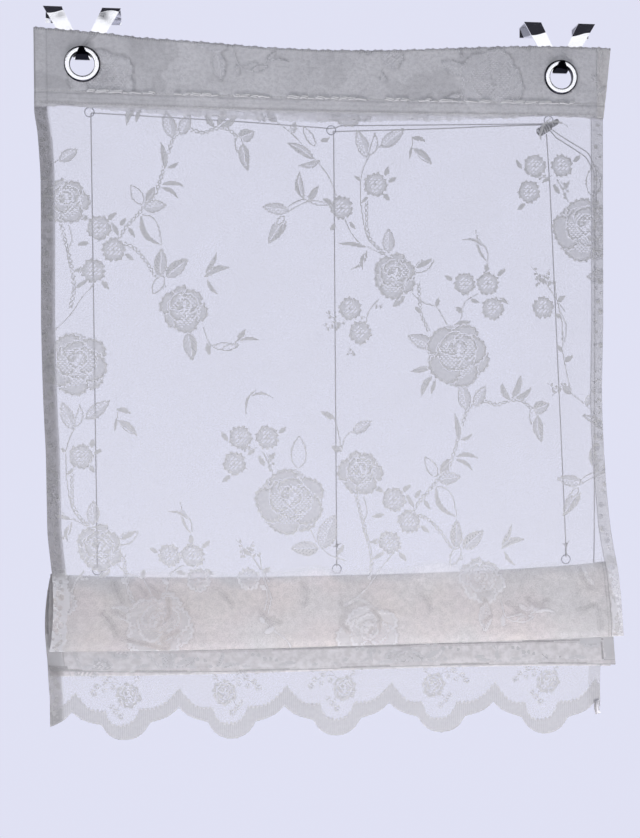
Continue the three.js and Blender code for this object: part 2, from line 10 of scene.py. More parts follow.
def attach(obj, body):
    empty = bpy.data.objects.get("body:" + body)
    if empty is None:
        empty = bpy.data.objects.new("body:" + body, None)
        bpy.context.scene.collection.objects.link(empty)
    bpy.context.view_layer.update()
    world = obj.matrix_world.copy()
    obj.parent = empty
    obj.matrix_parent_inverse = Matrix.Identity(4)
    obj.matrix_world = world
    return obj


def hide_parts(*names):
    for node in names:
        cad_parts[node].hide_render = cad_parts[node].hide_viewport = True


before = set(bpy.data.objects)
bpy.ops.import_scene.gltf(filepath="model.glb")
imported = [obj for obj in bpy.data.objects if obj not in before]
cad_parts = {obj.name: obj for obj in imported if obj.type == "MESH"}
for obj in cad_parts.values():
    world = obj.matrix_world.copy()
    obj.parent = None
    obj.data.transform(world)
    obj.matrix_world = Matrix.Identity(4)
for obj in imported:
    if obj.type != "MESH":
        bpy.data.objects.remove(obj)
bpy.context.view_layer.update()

scene = bpy.context.scene
MM = 0.001
PI = math.pi
RNG = np.random.default_rng(7)


def lerp(a, b, t):
    return a + (b - a) * t


def smooth(t):
    t = np.clip(t, 0.0, 1.0)
    return t * t * (3 - 2 * t)


# ------------------------------------------------------------------ camera
cam_data = bpy.data.cameras.new("view")
cam_data.sensor_width = 36.0
cam_data.sensor_fit = "AUTO"
cam_data.lens = 50.35
cam_data.clip_start = 0.05
cam = bpy.data.objects.new("view", cam_data)
scene.collection.objects.link(cam)
RIGHT = (0.99316416, -0.11666353, -0.00381726)
UP = (0.00700882, 0.02695897, 0.99961197)
AHEAD = (0.11651535, 0.99280554, -0.02759236)
cam.matrix_world = Matrix((
    (RIGHT[0], UP[0], -AHEAD[0], -0.15132),
    (RIGHT[1], UP[1], -AHEAD[1], -1.21857),
    (RIGHT[2], UP[2], -AHEAD[2], -0.38391),
    (0.0, 0.0, 0.0, 1.0),
))
scene.camera = cam

# ------------------------------------------------------------------ materials


class Look:
    """A node material with one principled shader."""

    def __init__(self, name, **sockets):
        self.mat = bpy.data.materials.new(name)
        self.mat.use_nodes = True
        self.tree = self.mat.node_tree
        self.tree.nodes.clear()
        out = self.add("ShaderNodeOutputMaterial")
        self.bsdf = self.add("ShaderNodeBsdfPrincipled")
        self.tree.links.new(self.bsdf.outputs[0], out.inputs[0])
        for key, value in sockets.items():
            self.put(self.bsdf.inputs[key.replace("_", " ")], value)

    def add(self, kind, **props):
        node = self.tree.nodes.new(kind)
        for key, value in props.items():
            setattr(node, key, value)
        return node

    def put(self, socket, value):
        if isinstance(value, bpy.types.NodeSocket):
            self.tree.links.new(value, socket)
        else:
            socket.default_value = value

    def math(self, op, a, b=0.0, c=0.0, clamp=False):
        node = self.add("ShaderNodeMath", operation=op, use_clamp=clamp)
        for socket, value in zip(node.inputs, (a, b, c)):
            self.put(socket, value)
        return node.outputs[0]

    def band(self, value, a, b, c, d):
        node = self.add("ShaderNodeMapRange", interpolation_type="SMOOTHSTEP")
        for i, v in enumerate((value, a, b, c, d)):
            self.put(node.inputs[i], v)
        return node.outputs[0]

    def mix(self, t, a, b):
        node = self.add("ShaderNodeMix", data_type="RGBA")
        self.put(node.inputs[0], t)
        self.put(node.inputs[6], a)
        self.put(node.inputs[7], b)
        return node.outputs[2]

    def attr(self, name, out=2):
        return self.add("ShaderNodeAttribute", attribute_name=name).outputs[out]

    def noise(self, vector, scale, detail=3.0, rough=0.55):
        node = self.add("ShaderNodeTexNoise")
        self.put(node.inputs["Vector"], vector)
        node.inputs["Scale"].default_value = scale
        node.inputs["Detail"].default_value = detail
        node.inputs["Roughness"].default_value = rough
        return node.outputs[0]

    def place(self):
        return self.add("ShaderNodeTexCoord").outputs["Object"]

    def xyz(self, vector):
        node = self.add("ShaderNodeSeparateXYZ")
        self.put(node.inputs[0], vector)
        return node.outputs[0], node.outputs[1], node.outputs[2]

    def bump(self, height, strength, distance):
        node = self.add("ShaderNodeBump")
        node.inputs["Strength"].default_value = strength
        node.inputs["Distance"].default_value = distance
        self.put(node.inputs["Height"], height)
        self.put(self.bsdf.inputs["Normal"], node.outputs[0])


def threads(look, flat, pitch):
    """Fine diagonal net: 1 on a thread, 0 in a hole."""
    x, y, _ = look.xyz(flat)
    k = PI / pitch
    a = look.math("ABSOLUTE", look.math("SINE", look.math("MULTIPLY", look.math("ADD", x, y), k)))
    b = look.math("ABSOLUTE", look.math("SINE", look.math("MULTIPLY", look.math("SUBTRACT", x, y), k)))
    return look.math("SUBTRACT", 1.0, look.math("MINIMUM", a, b))


def ribs(look, flat, pitch, axis=0):
    part = look.xyz(flat)[axis]
    return look.math("ABSOLUTE", look.math("SINE", look.math("MULTIPLY", part, PI / pitch)))


def net_look():
    look = Look("lace_net", Roughness=0.92)
    flat = look.attr("flat", 1)
    net = threads(look, flat, 0.00125)
    cloud = look.noise(flat, 14.0)
    fine = look.noise(flat, 160.0, 2.0)
    thin = look.band(net, 0.40, 0.95, 0.10, 0.48)
    grain = look.noise(flat, 620.0, 2.0, 0.6)
    thin = look.math("MULTIPLY", thin, look.band(cloud, 0.3, 0.7, 0.88, 1.12))
    thin = look.math("MULTIPLY", thin, look.band(grain, 0.3, 0.7, 0.62, 1.38))
    thick = look.math("MULTIPLY", look.attr("thick"), look.band(fine, 0.3, 0.7, 0.80, 1.05))
    alpha = look.math("ADD", thin, look.math("MULTIPLY", thick, look.math("SUBTRACT", 1.0, thin)), clamp=True)
    look.put(look.bsdf.inputs["Alpha"], alpha)
    cool = look.mix(look.band(cloud, 0.3, 0.7, 0.0, 1.0), (0.66, 0.66, 0.67, 1), (0.72, 0.72, 0.72, 1))
    warm = look.mix(look.band(look.noise(flat, 22.0), 0.35, 0.68, 0.0, 1.0), (0.925, 0.87, 0.88, 1), (0.965, 0.915, 0.895, 1))
    drift = look.band(look.noise(flat, 9.0, 2.0), 0.42, 0.60, 0.0, 0.75)
    warm = look.mix(drift, warm, (0.87, 0.88, 0.895, 1))
    base = look.mix(look.attr("warm"), look.mix(look.attr("thick"), cool, (0.88, 0.88, 0.92, 1)), warm)
    base = look.mix(look.math("MULTIPLY", look.band(fine, 0.35, 0.7, 1.0, 0.0), 0.22), base, (0.58, 0.57, 0.58, 1))
    # the grey attribute darkens the colour: painted shade
    shade = look.mix(look.attr("grey"), base, (0.36, 0.35, 0.36, 1))
    look.put(look.bsdf.inputs["Base Color"], shade)
    look.bump(look.math("ADD", look.math("MULTIPLY", net, 0.35), fine), 0.35, 0.0004)
    return look.mat


def motif_look():
    look = Look("lace_motif", Roughness=0.85)
    flat = look.attr("flat", 1)
    x, y, _ = look.xyz(flat)
    twill = look.math("ABSOLUTE", look.math("SINE", look.math("MULTIPLY", look.math("ADD", x, look.math("MULTIPLY", y, 0.5)), PI / 0.0009)))
    fine = look.noise(flat, 300.0, 2.0)
    dens = look.math("MULTIPLY", look.attr("dens"), look.band(look.math("MULTIPLY", twill, look.band(fine, 0.2, 0.8, 0.75, 1.0)), 0.0, 0.8, 0.86, 1.06), clamp=True)
    look.put(look.bsdf.inputs["Alpha"], dens)
    base = look.mix(look.band(fine, 0.3, 0.7, 0.0, 1.0), (0.64, 0.64, 0.65, 1), (0.72, 0.72, 0.725, 1))
    base = look.mix(look.attr("warm"), base, (0.90, 0.91, 0.95, 1))
    # the grey attribute darkens the colour: painted shade
    base = look.mix(look.attr("grey"), base, (0.40, 0.40, 0.41, 1))
    look.put(look.bsdf.inputs["Base Color"], base)
    look.bump(look.math("ADD", twill, fine), 0.4, 0.0003)
    return look.mat


def heading_look():
    look = Look("lace_heading", Roughness=0.9)
    flat = look.attr("flat", 1)
    net = threads(look, flat, 0.0016)
    cloud = look.noise(flat, 18.0, 4.0)
    fine = look.noise(flat, 240.0, 3.0)
    solid = look.attr("thick")
    alpha = look.math("ADD", solid, look.band(net, 0.3, 0.9, -0.06, 0.06), clamp=True)
    look.put(look.bsdf.inputs["Alpha"], alpha)
    grain = look.noise(flat, 520.0, 3.0, 0.7)
    base = look.mix(look.band(cloud, 0.32, 0.68, 0.0, 1.0), (0.83, 0.83, 0.86, 1), (0.95, 0.95, 0.98, 1))
    base = look.mix(look.math("MULTIPLY", look.band(fine, 0.35, 0.62, 1.0, 0.0), 0.42), base, (0.60, 0.60, 0.63, 1))
    base = look.mix(look.math("MULTIPLY", look.band(grain, 0.4, 0.62, 0.0, 1.0), 0.34), base, (1.0, 1.0, 1.0, 1))
    base = look.mix(look.attr("warm"), base, (0.84, 0.80, 0.74, 1))
    # the grey attribute darkens the colour: mostly painted shade, with the heading's second layer showing through
    base = look.mix(look.attr("grey"), base, (0.42, 0.42, 0.44, 1))
    look.put(look.bsdf.inputs["Base Color"], base)
    look.bump(look.math("ADD", look.math("MULTIPLY", net, 0.4), look.math("ADD", fine, grain)), 0.8, 0.0006)
    return look.mat


def metal_look(name, base, rough, wavy):
    """Polished plate: faint scratches, slight waves of the sheet, slightly darker places at random, and painted dark
    reflection on the hook's tongue and lips and on the eyelet's curled rims.
    """
    look = Look(name, Metallic=1.0)
    at = look.place()
    fine = look.noise(at, 900.0, 3.0)
    wide = look.noise(at, 34.0, 1.0)
    tone = look.mix(wide, (base * 0.95, base * 0.95, base * 0.97, 1), (base, base, base * 1.01, 1))
    if wavy:  # the pointed tongue and the thin bent-back lips at the plate's front get a painted dark reflection
        x, y, z = look.xyz(at)
        front = look.band(y, -0.0017, -0.0013, 1.0, 0.0)
        tone = look.mix(front, tone, (0.035, 0.035, 0.045, 1))
    else:
        # the eyelet's curled rims get a painted dark reflection from the rim attribute
        tone = look.mix(look.attr("rim"), tone, (0.030, 0.030, 0.045, 1))
    look.put(look.bsdf.inputs["Base Color"], tone)
    look.put(look.bsdf.inputs["Roughness"], look.band(fine, 0.3, 0.7, rough * 0.7, rough * 1.4))
    if wavy:  # the plate leans back a little towards its upper end, most on the right
        lean = look.math("MAXIMUM", look.math("ADD", z, look.math("MULTIPLY", look.math("SINE", look.math("MULTIPLY", x, 150.0)), 0.0022)), look.band(x, -0.01, 0.01, -0.0035, -0.0105))
        height = look.math("ADD", look.math("MULTIPLY", wide, 0.00025), look.math("MULTIPLY", lean, 0.26))
        look.bump(height, 1.0, 1.0)
    else:
        look.bump(wide, 0.03, 0.0002)
    return look.mat


def clear_look(name, clear, light, dark):
    look = Look(name, Roughness=0.14, IOR=1.49)
    look.put(look.bsdf.inputs["Transmission Weight"], clear)
    fine = look.noise(look.place(), 420.0, 2.0)
    base = look.mix(look.band(fine, 0.35, 0.65, 0.0, 1.0), (*dark, 1), (*light, 1))
    # the lock barrel's grooves and ends get painted shade from the groove attribute
    if clear < 0.5:
        base = look.mix(look.attr("groove"), base, (0.05, 0.05, 0.06, 1))
    look.put(look.bsdf.inputs["Base Color"], base)
    look.bump(fine, 0.12, 0.0002)
    return look.mat


def thread_look(name, light, dark, alpha=1.0):
    look = Look(name, Roughness=0.8)
    at = look.place()
    fine = look.noise(at, 1400.0, 2.0)
    x, y, z = look.xyz(at)
    twist = look.math("SINE", look.math("MULTIPLY", look.math("ADD", look.math("ADD", x, y), z), 5200.0))
    # darker where the twist sinks: painted shade between the plies
    look.put(look.bsdf.inputs["Base Color"], look.mix(look.band(look.math("ADD", look.math("MULTIPLY", twist, 0.2), fine), 0.25, 0.8, 0.0, 1.0), (*dark, 1), (*light, 1)))
    look.bsdf.inputs["Alpha"].default_value = alpha
    look.bump(look.math("ADD", twist, fine), 0.6, 0.0002)
    return look.mat


NET = net_look()
MOTIF = motif_look()
BAND_CLOTH = heading_look()
METAL = metal_look("polished_hook", 0.92, 0.07, True)
RIM = metal_look("polished_eyelet", 0.94, 0.16, False)
CLEAR = clear_look("clear_plastic", 0.70, (0.72, 0.73, 0.77), (0.46, 0.47, 0.51))
SMOKE = clear_look("clear_barrel", 0.15, (0.80, 0.81, 0.84), (0.40, 0.41, 0.44))
CORD_LOOK = thread_look("cord", (0.80, 0.80, 0.82), (0.44, 0.44, 0.47))
WHITE_THREAD = thread_look("white_thread", (1.0, 1.0, 1.0), (0.88, 0.88, 0.90))
STITCH = thread_look("stitch", (0.90, 0.90, 0.90), (0.70, 0.70, 0.71))

# ------------------------------------------------------------------ mesh helpers


def link(obj, body="root"):
    scene.collection.objects.link(obj)
    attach(obj, body)
    return obj


def mesh_object(name, verts, faces, mat, smooth_faces=True, values=None, face_values=None):
    """verts (n, 3) in mm, faces (m, 4) or (m, 3) indices."""
    mesh = bpy.data.meshes.new(name)
    verts = np.asarray(verts, np.float64)
    faces = np.asarray(faces, np.int32)
    n = faces.shape[1]
    mesh.vertices.add(len(verts))
    mesh.vertices.foreach_set("co", (verts * MM).astype(np.float32).ravel())
    mesh.loops.add(faces.size)
    mesh.loops.foreach_set("vertex_index", faces.ravel())
    mesh.polygons.add(len(faces))
    mesh.polygons.foreach_set("loop_start", np.arange(0, faces.size, n, dtype=np.int32))
    mesh.polygons.foreach_set("use_smooth", np.full(len(faces), smooth_faces))
    mesh.update(calc_edges=True)
    for domain, table in (("POINT", values), ("FACE", face_values)):
        for key, data in (table or {}).items():
            data = np.asarray(data, np.float32)
            kind = "FLOAT_VECTOR" if data.ndim == 2 else "FLOAT"
            layer = mesh.attributes.new(key, kind, domain)
            layer.data.foreach_set("vector" if data.ndim == 2 else "value", data.ravel())
    mesh.validate()
    mesh.materials.append(mat)
    obj = bpy.data.objects.new(name, mesh)
    return link(obj)


def grid_faces(rows, cols, close=False):
    r, c = np.meshgrid(np.arange(rows - 1), np.arange(cols if close else cols - 1), indexing="ij")
    a = r * cols + c
    b = r * cols + (c + 1) % cols
    return np.stack([a, b, b + cols, a + cols], -1).reshape(-1, 4)


def lathe(name, profile, centre, axis, mat, steps=72, closed=True):
    """Profile (radius, along) turned round the axis through the centre."""
    profile = np.asarray(profile, float)
    axis = np.asarray(axis, float) / np.linalg.norm(axis)
    side = np.cross(axis, (0.0, 0.0, 1.0) if abs(axis[2]) < 0.9 else (1.0, 0.0, 0.0))
    side /= np.linalg.norm(side)
    other = np.cross(axis, side)
    a = np.linspace(0, 2 * PI, steps, endpoint=False)
    ringv = np.cos(a)[:, None] * side + np.sin(a)[:, None] * other
    pts = np.asarray(centre) + profile[:, None, 0:1] * ringv[None] + profile[:, None, 1:2] * axis
    if closed:
        pts = np.concatenate([pts, pts[:1]])
    faces = grid_faces(len(pts), steps, close=True)
    if closed:
        faces = np.where(faces >= (len(pts) - 1) * steps, faces - (len(pts) - 1) * steps, faces)
        pts = pts[:-1]
    return mesh_object(name, pts.reshape(-1, 3), faces, mat)


def spline_points(pts, step=None, n=8, closed=False):
    """Catmull-Rom line through the points."""
    p = np.asarray(pts, float)
    if closed:
        p = np.concatenate([p[-1:], p, p[:2]])
    else:
        p = np.concatenate([2 * p[:1] - p[1:2], p, 2 * p[-1:] - p[-2:-1]])
    out = []
    for i in range(1, len(p) - 2):
        k = n if step is None else max(2, int(np.linalg.norm(p[i + 1] - p[i]) / step))
        t = np.linspace(0, 1, k, endpoint=False)[:, None]
        a, b, c, d = p[i - 1], p[i], p[i + 1], p[i + 2]
        out.append(0.5 * (2 * b + (c - a) * t + (2 * a - 5 * b + 4 * c - d) * t**2 + (3 * b - a - 3 * c + d) * t**3))
    if not closed:
        out.append(p[-2:-1])
    return np.concatenate(out)


# ------------------------------------------------------------------ where the cloth hangs
EDGES = np.array([
    (-91, -297.5, 297.6), (-104, -298.6, 297.0), (-124, -294.7, 296.8), (-168, -291.9, 296.4),
    (-228, -291.8, 295.8), (-316, -292.3, 294.8), (-357, -291.6, 293.4), (-390, -290.8, 292.3),
    (-421, -289.6, 292.7), (-450, -288.2, 293.6), (-485, -287.8, 295.3), (-532, -287.2, 299.6),
    (-556, -284.6, 303.4), (-580, -282.0, 308.2), (-612, -281.6, 311.2), (-640, -284.4, 313.4),
])
# low?, z at the left, middle and right, x of the two ends
FOLDS = [
    (True, -650.0, -653.0, -650.8, -286.2, 314.0),
    (False, -572.6, -580.2, -572.2, -285.0, 297.4),
    (True, -670.4, -677.8, -682.6, -286.4, 307.0),
    (False, -581.5, -588.6, -592.6, -286.8, 302.0),
    (True, -677.6, -680.8, -685.2, -286.4, 303.6),
    (False, -590.5, -597.6, -601.0, -289.4, 298.0),
]
TAIL = (-287.9, 293.6)
SCALLOPS = [(-319.7, -751.5), (-211.4, -746.6), (-102.9, -749.6), (7.6, -751.0), (119.4, -751.2), (232.6, -757.2), (343.8, -758.2)]
SCALLOP = np.array([(0, 0), (0.12, 0.8), (0.23, 3.2), (0.33, 7.3), (0.40, 12.4), (0.45, 17.4), (0.56, 19.2), (0.70, 21.4), (0.83, 24.8), (0.93, 29.2), (1.0, 33.6)])
FOLD_R = 1.3
PITCH = 2.6


def ripple(u):
    return 0.5 - 0.5 * np.cos(2 * PI * (1.5 * u + 0.12))


def wave_at(u, z):
    return -1.2 * ripple(u) * smooth((-z - 140) / 400)


def bow_at(x):
    return -0.8 * (0.5 + 0.5 * np.cos(PI * np.minimum(np.abs(x), 249.5) / 249.5))


def drop_y(z):
    far = lerp(-2.15, -21.5, np.clip((-z - 104) / 500, 0, 1))
    return lerp(-1.35, far, smooth((-z - 98) / 12))


def lean_at(z):
    return 3.4 * smooth((z + 626) / 36)


def fold_z(fold, u):
    s = 2 * u - 1
    return fold[2] + (np.where(s < 0, fold[1], fold[3]) - fold[2]) * np.abs(s) ** 2.6


_zs = np.arange(-660, -70, 2.0)
_kernel = np.exp(-0.5 * (np.arange(-8, 9) / 3.5) ** 2)
_kernel /= _kernel.sum()


def _soften(col):
    raw = np.interp(_zs, EDGES[::-1, 0], EDGES[::-1, col])
    pad = np.concatenate([np.full(8, raw[0]), raw, np.full(8, raw[-1])])
    return np.convolve(pad, _kernel, "valid")


_left, _right = _soften(1), _soften(2)


def edge_x(z, u):
    return lerp(np.interp(z, _zs, _left), np.interp(z, _zs, _right), u)


def bumpy(x, z, cx, cz, wx, wz, tilt=0.0):
    dx, dz = x - cx, z - cz
    dx = dx + tilt * dz
    return np.exp(-((dx / wx) ** 2) - ((dz / wz) ** 2))


# soft creases of the single layer: x, z, half width, half height, lean, depth
CREASES = [
    (-243, -150, 7, 46, 0.10, -0.9), (-226, -160, 9, 60, -0.15, 0.7), (-190, -140, 12, 40, 0.3, -0.5),
    (4, -168, 8, 60, 0.05, -0.8), (22, -160, 10, 50, -0.2, 0.6), (-30, -150, 12, 45, 0.25, 0.5),
    (238, -150, 7, 60, -0.05, -0.9), (216, -165, 10, 60, 0.2, 0.7),
    (275, -330, 7, 130, 0.02, -1.2), (262, -470, 9, 90, -0.08, 0.9), (280, -520, 8, 60, -0.22, -1.3),
    (-272, -300, 8, 120, 0.0, -0.9), (-262, -480, 8, 90, 0.03, 0.7), (-130, -520, 26, 70, 0.2, -0.8),
    (90, -500, 30, 90, -0.25, -0.8), (180, -420, 22, 120, 0.1, 0.6), (-60, -380, 26, 140, 0.1, 0.5),
]
# puckers of the folded part: x, z, half width, half height, lean, depth
STACK_CREASES = [
    (-236, -588, 10, 16, 0.2, -0.9), (-215, -604, 16, 30, 0.5, -0.7), (-262, -600, 8, 26, -0.2, 0.7), (-175, -630, 26, 12, 0.3, -0.6),
    (6, -590, 9, 14, -0.1, -0.9), (-24, -606, 14, 26, 0.6, 0.6), (34, -612, 16, 26, -0.5, -0.6), (-90, -616, 30, 16, 0.4, -0.7),
    (100, -604, 24, 18, -0.5, 0.6), (140, -630, 30, 12, 0.2, -0.6), (196, -606, 16, 30, -0.3, -0.8), (252, -590, 9, 16, 0.1, -0.9),
    (276, -612, 9, 30, 0.3, 0.8), (232, -632, 18, 12, 0.0, -0.5), (296, -632, 7, 20, -0.3, -0.7),
]


def creases(x, z):
    d = np.zeros_like(x * 1.0)
    for cx, cz, wx, wz, tilt, depth in CREASES:
        d += depth * bumpy(x, z, cx, cz, wx, wz, tilt)
    return d * smooth((-z - 98) / 20) * smooth((z + 572) / 30)


def stack_creases(x, z):
    d = np.zeros_like(x * 1.0)
    for cx, cz, wx, wz, tilt, depth in STACK_CREASES:
        d += depth * bumpy(x, z, cx, cz, wx, wz, tilt)
    return d * smooth((-z - 566) / 22) * smooth((z + 649) / 10)


def cloth_rows(u):
    """Rows of the one long cloth from the heading down, over its folds and out to the tail."""
    rows = []
    wave = wave_at(u, -600.0)
    for z in np.concatenate([np.arange(-91, -560, -5.0), np.arange(-560, -641, -2.5)]):
        x = edge_x(z, u)
        zz = np.full_like(u, z)
        y = drop_y(z) + wave_at(u, z) + bow_at(x) * smooth((z + 400) / 300) + creases(x, zz) + stack_creases(x, zz)
        rows.append(np.stack([x, y, zz], -1))
    y = -21.5
    for k, fold in enumerate(FOLDS):
        low = fold[0]
        fz = fold_z(fold, u)
        middle = fz + FOLD_R if low else fz - FOLD_R
        x = lerp(fold[4], fold[5], u)
        lean = 0.0 if low else 3.4
        for i in range(9):
            a = i / 8 * PI
            rows.append(np.stack([x, y + lean + wave + FOLD_R - FOLD_R * math.cos(a), middle + (-1 if low else 1) * FOLD_R * math.sin(a)], -1))
        y += PITCH
        if k < 5:
            nxt = FOLDS[k + 1]
            nl, nr = nxt[4], nxt[5]
            nz = fold_z(nxt, u) + (FOLD_R if nxt[0] else -FOLD_R)
        else:
            nl, nr = TAIL
            nz = np.full_like(u, -700.0)
        for j in range(1, 22):
            t = j / 22
            z = lerp(middle, nz, t)
            x = lerp(lerp(fold[4], nl, t) - (4.5 if k in (1, 2, 3) else 1.5) * math.sin(PI * t) ** 0.7, lerp(fold[5], nr, t), u)
            sag = 0.5 * math.sin(PI * t) * np.sin(9.0 * u + 2.1 * k)
            rows.append(np.stack([x, y + lean_at(z) + wave + sag * 0.6, z], -1))
    x = lerp(TAIL[0], TAIL[1], u)
    for z in np.arange(-700.0, -765.0, -4.0):
        rows.append(np.stack([x, y + wave + tail_wave(x, z), np.full_like(u, z)], -1))
    return np.array(rows)


def tail_wave(x, z):
    return 0.8 * np.sin(x / 27.0 + 0.6) * smooth((-z - 690) / 40)


def scallop_edge(x):
    out = np.zeros_like(x * 1.0)
    for i in range(len(SCALLOPS) - 1):
        a, b = SCALLOPS[i], SCALLOPS[i + 1]
        notch = (a[0] + b[0]) / 2
        mid_z = (a[1] + b[1]) / 2
        for (x0, z0), (lo, hi) in ((a, (a[0], notch)), (b, (notch, b[0]))):
            part = (x >= lo) & (x <= hi)
            s = np.clip(np.abs(x - x0) / abs(notch - x0), 0, 1)
            up = np.interp(s, SCALLOP[:, 0], SCALLOP[:, 1])
            out = np.where(part, lerp(z0, mid_z, s) + up, out)
    return out


class Cloth:
    """The middle surface as a table over (c, v): c across the cut cloth, -300 to 300, v down its length."""

    def __init__(self, columns=301):
        self.c = np.linspace(-300, 300, columns)
        self.p = cloth_rows((self.c + 300) / 600)
        step = np.linalg.norm(np.diff(self.p, axis=0), axis=2).mean(1)
        self.v = np.concatenate([[0], np.cumsum(step)])
        du = np.gradient(self.p, axis=1)
        dv = np.gradient(self.p, axis=0)
        n = np.cross(du, dv)
        n /= np.linalg.norm(n, axis=2, keepdims=True) + 1e-9
        self.n = n if n[20, columns // 2, 1] > 0 else -n  # towards the wrong side of the cloth

    def at(self, c, v, off=0.0):
        c = np.clip(c, -300, 300)
        v = np.clip(v, 0, self.v[-1])
        i = np.clip(np.searchsorted(self.v, v, side="right") - 1, 0, len(self.v) - 2)
        t = ((v - self.v[i]) / (self.v[i + 1] - self.v[i]))[..., None]
        f = (c + 300) / 600 * (len(self.c) - 1)
        j = np.clip(f.astype(int), 0, len(self.c) - 2)
        s = (f - j)[..., None]
        off = np.asarray(off, float)
        off = off[..., None] if off.ndim else off

        def pick(a):
            return lerp(lerp(a[i, j], a[i, j + 1], s), lerp(a[i + 1, j], a[i + 1, j + 1], s), t)

        return pick(self.p) + pick(self.n) * off


CLOTH = Cloth()
V_FRONT = float(CLOTH.v[np.argmin(np.abs(CLOTH.p[:130, 150, 2] + 640))])
V_END = float(CLOTH.v[-1])
# v where the tail's even rows begin, at z -716
V_TAIL = float(CLOTH.v[-13])
print("cloth length", V_END, "front", V_FRONT, "tail", V_TAIL)

# ------------------------------------------------------------------ cords


def rounded(corners):
    """Corner points with a radius each, to a line of straights and arcs (the same line as the part's)."""
    v = [Vector(c[:3]) for c in corners]
    line = [v[0].copy()]
    for i in range(1, len(v) - 1):
        a = (v[i - 1] - v[i]).normalized()
        b = (v[i + 1] - v[i]).normalized()
        turn = PI - a.angle(b)
        if turn < 0.02:
            line.append(v[i].copy())
            continue
        room = 0.49 * min((v[i] - v[i - 1]).length, (v[i] - v[i + 1]).length)
        radius = corners[i][3] if len(corners[i]) > 3 else 6
        cut = min(radius * math.tan(turn / 2), room)
        r = cut / math.tan(turn / 2)
        centre = (a + b).normalized() * (r / math.cos(turn / 2)) + v[i]
        start = v[i] + a * cut - centre
        end = v[i] + b * cut - centre
        steps = max(3, math.ceil(turn / 0.2))
        for k in range(steps + 1):
            t = k / steps
            s = math.sin(turn)
            line.append(start * (math.sin((1 - t) * turn) / s) + end * (math.sin(t * turn) / s) + centre)
    line.append(v[-1].copy())
    return line


LOCK_AXIS = Vector((0.853, 0.0, 0.5219)).normalized()
LOCK_FOOT = Vector((228.6, 7.8, -113.7))
LOCK_R = 4.8
RING_Y = 2.0


def on_lock(along, off, back):
    p = LOCK_FOOT + LOCK_AXIS * along
    return [p.x - LOCK_AXIS.z * off, p.y + back, p.z + LOCK_AXIS.x * off]


RINGS_TOP = [(-243.3, -103.6), (4.8, -116.6), (238.5, -101.2)]
RINGS_LOW = []
for _x in (-238.3, 6.9, 252.6):
    _u = (_x + 300) / 600
    RINGS_LOW.append((_x, -14.2 + float(wave_at(np.array(_u), -600.0)), float(fold_z(FOLDS[1], np.array(_u))) + 0.5 + 0.8 + 5.35))

TL, TC = RINGS_TOP[0], RINGS_TOP[1]
FORE = RING_Y - 1.75
BEHIND = RING_Y + 1.8
END = LOCK_R + 0.8
LEFT_TOP = [
    [TL[0] + 1.6, FORE - 0.1, TL[1] - 9.5, 8], [TL[0] + 1.6, FORE, TL[1] - 3.8, 2.4], [TL[0] + 1.8, RING_Y + 0.4, TL[1] - 0.7, 2.4],
    [TL[0] + 5.2, BEHIND + 0.3, TL[1] - 0.4, 4], [-90, BEHIND + 0.2, -109.4, 60], [TC[0] - 7.5, BEHIND + 0.1, TC[1] + 2.6, 6],
    [TC[0] - 4.2, BEHIND, TC[1] + 2.0, 5], [TC[0] + 4.2, FORE - 0.1, TC[1] + 2.0, 5], [TC[0] + 9.0, FORE, TC[1] + 4.4, 8],
    [120, 3.4, -108.2, 90], on_lock(9.6, END, -1.2),
]
CENTRE_TOP = [
    [TC[0] + 2.4, FORE - 0.1, TC[1] - 10, 8], [TC[0] + 2.0, FORE, TC[1] - 3.6, 2.4], [TC[0] + 2.0, RING_Y + 0.4, TC[1] - 1.2, 2.4],
    [TC[0] + 5.4, BEHIND + 0.3, TC[1] - 0.8, 4], [120, 6.2, -111.6, 90], [177, 7.4, -107.6, 60], on_lock(8.6, END, 0.9),
]
RIGHT_TOP = [[249.4, -10.2, -450, 400], [246.2, -4.6, -345, 400], [240.4, 3.0, -172, 400], on_lock(7.6, -END, 0.2)]
CORD_D = 1.2


def tidy(line, gap=0.15):
    out = [line[0]]
    for p in line[1:]:
        if (p - out[-1]).length > gap:
            out.append(p)
    return out


def cord_curve(name, line, diameter=CORD_D):
    curve = bpy.data.curves.new(name, "CURVE")
    curve.dimensions = "3D"
    curve.bevel_depth = diameter / 2 * MM
    curve.bevel_resolution = 3
    curve.use_fill_caps = True
    spline = curve.splines.new("POLY")
    spline.points.add(len(line) - 1)
    for point, p in zip(spline.points, line):
        point.co = (p.x * MM, p.y * MM, p.z * MM, 1)
    curve.materials.append(CORD_LOOK)
    obj = bpy.data.objects.new(name, curve)
    link(obj)
    return obj, sum((b - a).length for a, b in zip(line, line[1:])) * MM


def tube(name, paths, radius, mat, sides=8):
    """Round threads along several lines, joined in one mesh."""
    verts, faces = [], []
    for path in paths:
        p = np.asarray([tuple(q) for q in path], float)
        t = np.gradient(p, axis=0)
        t /= np.linalg.norm(t, axis=1, keepdims=True) + 1e-9
        ref = np.array((0.31, 0.86, 0.41))
        a = np.cross(t, ref)
        a /= np.linalg.norm(a, axis=1, keepdims=True) + 1e-9
        b = np.cross(t, a)
        w = np.linspace(0, 2 * PI, sides, endpoint=False)
        taper = np.ones(len(p))
        taper[0] = taper[-1] = 0.45
        rr = radius * taper[:, None, None]
        ring = p[:, None] + rr * (np.cos(w)[None, :, None] * a[:, None] + np.sin(w)[None, :, None] * b[:, None])
        base = sum(len(v) for v in verts)
        verts.append(ring.reshape(-1, 3))
        f = grid_faces(len(p), sides, close=True) + base
        faces.append(f)
        for end, flip in ((0, 1), (len(p) - 1, 0)):
            ids = base + end * sides + np.arange(sides)
            if flip:
                ids = ids[::-1]
            for k in range(1, sides - 2, 2):
                faces.append(np.array([[ids[0], ids[k], ids[k + 1], ids[k + 2]]]))
    return mesh_object(name, np.concatenate(verts), np.concatenate(faces), mat)


